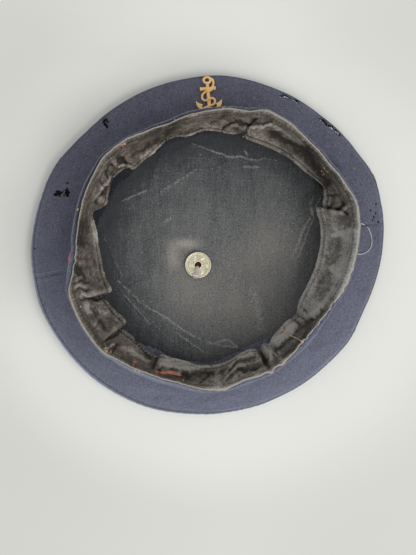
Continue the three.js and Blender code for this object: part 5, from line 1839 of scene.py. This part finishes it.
# %% Lint
def scatter(name, slot, count, inner, outer, thread, length, thickness, seed):
    """Lint between two radii, lying flat at random."""
    random = np.random.default_rng(seed)
    degrees = random.uniform(0, 360, count)
    radii = np.sqrt(random.uniform(inner**2, outer(degrees) ** 2))
    points, out = lay(degrees, radii, 0.05 * MM)
    runs = unit(np.cross(out, random.standard_normal((count, 3))))
    sew(name, slot, points, runs, thread, length, thickness, 0.15, seed)


def wool_limit(degrees):
    return side_edge(degrees) - 1.5 * MM


def lining_limit(degrees):
    return 64 * MM + 0 * degrees


scatter("lint_on_wool", "navy_wool", 420, 88 * MM, wool_limit, pale_thread, 0.6, 0.27, 81)
scatter("fibres_on_wool", "navy_wool", 150, 88 * MM, wool_limit, grey_blue_thread, 2.6, 0.18, 82)
scatter("lint_on_lining", "black_oilcloth", 340, 0.0, lining_limit, pale_thread, 0.5, 0.2, 83)
scatter("crumbs_on_lining", "black_oilcloth", 60, 0.0, lining_limit, white_thread, 0.6, 0.5, 92)
scatter("fibres_on_lining", "black_oilcloth", 110, 0.0, lining_limit, grey_blue_thread, 2.4, 0.15, 84)

# %% [markdown]
# The side panels' joins are topstitched on both sides. A row of stitches runs across the panel,
# a fixed distance from the join, and another row holds the panels to the crown's edge.

# %% Seam stitches
SEAM_STITCHES = 15
CROWN_STITCHES = 400


def side_points(degrees, share, lift):
    radii, heights = side_surface(degrees, share)
    return place(degrees, radii, heights + lift)


share = np.linspace(0.05, 0.93, SEAM_STITCHES)
for seam, thread in zip(SEAM_DEGREES, (navy_thread, pale_thread)):
    away = np.degrees(STITCH_AWAY / side_surface(seam, share)[0])
    points = side_points(seam + np.stack([-away, away]), share, 0.22 * MM)
    runs = np.gradient(points, axis=1)
    sew(f"seam_stitches_{seam:.0f}", "navy_wool", points, runs, thread, 1.1, 0.3, 0.08, 5)

degrees = np.arange(CROWN_STITCHES) * 360 / CROWN_STITCHES
points = side_points(degrees, 0.022, 0.1 * MM)
runs = np.roll(points, -1, axis=0) - np.roll(points, 1, axis=0)
sew("crown_stitches", "navy_wool", points, runs, dark_thread, 1.0, 0.36, 0.15, 10)

# %% [markdown]
# The sweatband is whipped to the rim by short stitches that run down from the roll, and its free
# edge is hemmed by one row, or two on the broad flap at the wearer's right.

# %% Sweatband stitches
def on_leather(wanted_rows, span):
    """Points on the leather's front face, and the way across it, at rows and one distance."""
    j = int(np.argmin(np.abs(spans[0] - span)))
    i = np.asarray(wanted_rows).astype(int) % LEATHER_ROWS
    return front[i, j], front[i, min(j + 1, len(spans[0]) - 1)] - front[i, j - 1], normals[i, j], i, j


WHIP_STITCHES = 268
whip_rows = np.arange(WHIP_STITCHES) * LEATHER_ROWS / WHIP_STITCHES
points, runs, out, _, _ = on_leather(whip_rows, 2.7 * MM)
sew("whip_stitches", "black_leather", points + out * 0.1 * MM, runs, grey_thread, 1.9, 0.42, 0.22, 6)


def hem(name, first, last, span, spacing, thread, seed):
    """A row of stitches along the free edge between two angles."""
    edge_degrees = leather_degrees[:, -1] % 360
    inside = (edge_degrees - first) % 360 < (last - first) % 360
    rows = np.flatnonzero(inside)
    points, _, out, i, j = on_leather(rows, span)
    runs = front[(i + 1) % LEATHER_ROWS, j] - front[i - 1, j]
    travelled = np.cumsum(np.linalg.norm(np.diff(points, axis=0, prepend=points[:1]), axis=1))
    count = int(travelled.max() / (spacing * MM))
    wanted = np.linspace(0, travelled.max(), count)
    picked = np.searchsorted(travelled, wanted).clip(0, len(rows) - 1)
    lifted = points[picked] + out[picked] * 0.08 * MM
    sew(name, "black_leather", lifted, runs[picked], thread, 1.2, 0.42, 0.2, seed)


hem("hem_stitches", 21, 327, LEATHER_WIDTH - 1.8 * MM, 2.2, hem_and_highlight_thread, 7)
hem("flap_stitches_outer", 328, 21, LEATHER_WIDTH - 1.5 * MM, 2.0, pale_thread, 8)
hem("flap_stitches_inner", 328, 21, LEATHER_WIDTH - 3.1 * MM, 2.0, pale_thread, 9)

# %% [markdown]
# Rows of basting stitches cross the lining in broken arcs, and knots of tan thread are left on the
# sweatband from an old repair. Each row of the first table is a stretch of stitches, and each row
# of the second one knot.

# %% Basting stitches and knots
BASTING = table("deg radius to_deg to_radius", [
    (196, 66.5, 208, 63.5), (208, 63.5, 222, 60), (222, 60, 236, 61.5), (236, 61.5, 252, 66),
    (200, 68.5, 214, 65), (214, 65, 228, 63.8), (228, 63.8, 244, 68), (256, 66, 276, 67.5),
    (104, 62, 92, 60), (92, 60, 80, 62.5), (80, 62.5, 70, 61.5), (20, 66, 8, 63.5),
])
KNOTS = table("deg radius size", [
    (356, 68, 0.9), (34.2, 85.4, 1), (35.6, 85.6, 0.8), (26.6, 90.2, 0.9), (85.4, 87, 0.9),
    (96.8, 83.1, 1.1), (106, 82.2, 0.7), (130, 84, 0.8), (74.6, 77.4, 0.7), (237.6, 88.1, 0.9),
    (239, 87.6, 0.8), (224, 90.2, 1), (223, 89.4, 0.8), (225.2, 89, 0.8), (257.5, 82.8, 0.7),
    (311.6, 85.2, 0.9), (313, 84.8, 0.9), (203.5, 88.6, 0.7), (163.5, 86.4, 0.7),
])
degrees, radii = [], []
for row in BASTING:
    share = np.linspace(0, 1, round(abs(row["to_deg"] - row["deg"]) * 0.6))
    degrees.append(blend(row["deg"], row["to_deg"], share))
    radii.append(blend(row["radius"], row["to_radius"], share) * MM)
degrees, radii = np.concatenate(degrees), np.concatenate(radii)
points, _ = lay(degrees, radii, 0.08 * MM)
ahead, _ = lay(degrees + 1, radii, 0.08 * MM)
sew("basting_stitches", "black_oilcloth", points, ahead - points, pale_thread, 0.9, 0.26, 0.3, 85)

cracks, runs = [], []
random = np.random.default_rng(90)
for fold in FOLDS:
    start, end = (np.array([fold[x], fold[y]]) for x, y in (("x", "y"), ("to_x", "to_y")))
    count = round(np.linalg.norm(end - start) * 1.3 * fold["pale"])
    share = random.uniform(0, 1, count)[:, None]
    cracks.append(start + (end - start) * share + random.normal(0, 0.25, (count, 2)))
    runs.append(np.tile([*(end - start), 0.0], (count, 1)))
degrees, radii, _ = polar(np.pad(np.concatenate(cracks) * MM, ((0, 0), (0, 1))))
points, _ = lay(degrees, radii, 0.03 * MM)
sew("cracked_coat", "black_oilcloth", points, np.concatenate(runs), pale_thread, 1.1, 0.22, 0.25, 91)

degrees, radii, size = (np.repeat([knot[name] for knot in KNOTS], 6) for name in KNOTS[0])
degrees = degrees + random.normal(0, 0.3, len(size)) * size
radii = radii + random.normal(0, 0.45, len(size)) * size
points, out = lay(degrees, radii * MM, 0.1 * MM)
runs = np.cross(out, random.standard_normal((len(size), 3)))
sew("thread_knots", "black_leather", points, runs, tan_thread, 1.3, 0.4, 0.6, 86)

# %% [markdown]
# Along the sharpest folds of the sweatband a pale thread of a line is laid as a painted highlight,
# and in the deepest ones a dark line as painted shade. The band's seam allowance has frayed along
# its edge.

# %% Painted highlights and shade along the folds
def along_creases(lowest, deepest, per_mm):
    """Places at random on the creases of some depths, and the way that each crease runs there."""
    degrees, radii, ahead = [], [], []
    for crease in CREASES:
        if lowest <= crease["depth"] <= deepest:
            around = math.radians(crease["to_deg"] - crease["deg"]) * crease["radius"]
            across = crease["to_radius"] - crease["radius"]
            share = random.uniform(0, 1, round(math.hypot(around, across) * per_mm))
            degrees.append(blend(crease["deg"], crease["to_deg"], share))
            radii.append(blend(crease["radius"], crease["to_radius"], share) * MM)
            ends = np.array([crease["deg"], crease["to_deg"]])
            run = place(ends, radii[-1][:1] + [0, across * MM], 0)
            ahead.append(np.tile(run[1] - run[0], (len(share), 1)))
    line = place(np.concatenate(degrees), np.concatenate(radii), 0)
    degrees, radii, _ = polar(2 * line - wavering(line, 0.3))
    return lay(degrees, radii, 0.02 * MM)[0], np.concatenate(ahead)


points, runs = along_creases(-2, -0.38, 1.4)
sew("painted_crest_highlights", "black_leather", points, runs, hem_and_highlight_thread, 1.3, 0.34, 0.25, 93)
points, runs = along_creases(0.85, 3, 1.2)
sew("painted_crease_shade", "black_leather", points, runs, dark_thread, 1.3, 0.3, 0.2, 94)

degrees = random.uniform(222, 332, 260)
radii = allowance_edge(degrees) + random.uniform(-0.6, 1.6, 260) * MM
points, out = lay(degrees, radii, 0.05 * MM)
runs = np.cross(out, random.standard_normal((260, 3)))
sew("frayed_weft", "navy_wool", points, runs, navy_thread, 1.6, 0.2, 0.3, 95)

# %% [markdown]
# White threads of the cloth's weft are left standing round the moth holes at the front, and red
# fluff from the piping shows at two places on the rim.

# %% Torn threads
random = np.random.default_rng(87)
torn = [hole for hole in MOTH_HOLES if 40 < hole["deg"] < 70 for _ in range(4)]
degrees = np.array([hole["deg"] for hole in torn]) + random.uniform(-0.9, 0.9, len(torn))
radii = np.array([hole["radius"] - 0.35 for hole in torn]) + random.uniform(-0.35, 0.35, len(torn))
points, out = lay(degrees, radii * MM, -0.25 * MM)
points[:, 2] = np.maximum(points[:, 2], side_surface(degrees, 0.03)[1] + 0.1 * MM)
outward = points * (1, 1, 0) + 0.01 * random.standard_normal((len(points), 3))
sew("torn_weft", "navy_wool", points, np.cross(out, outward), bright_thread, 2.8, 0.4, 0.15, 88)
radii = np.array([84.6, 84.9, 87.2, 87.3]) * MM
points, out = lay([298.7, 298.2, 290.2, 289.4], radii, 0.15 * MM)
runs = np.cross(out, (0.6, 1, 0))
sew("red_fluff", "red_wool", points, runs, red_wool.material, 1.2, 0.7, 0.5, 89)
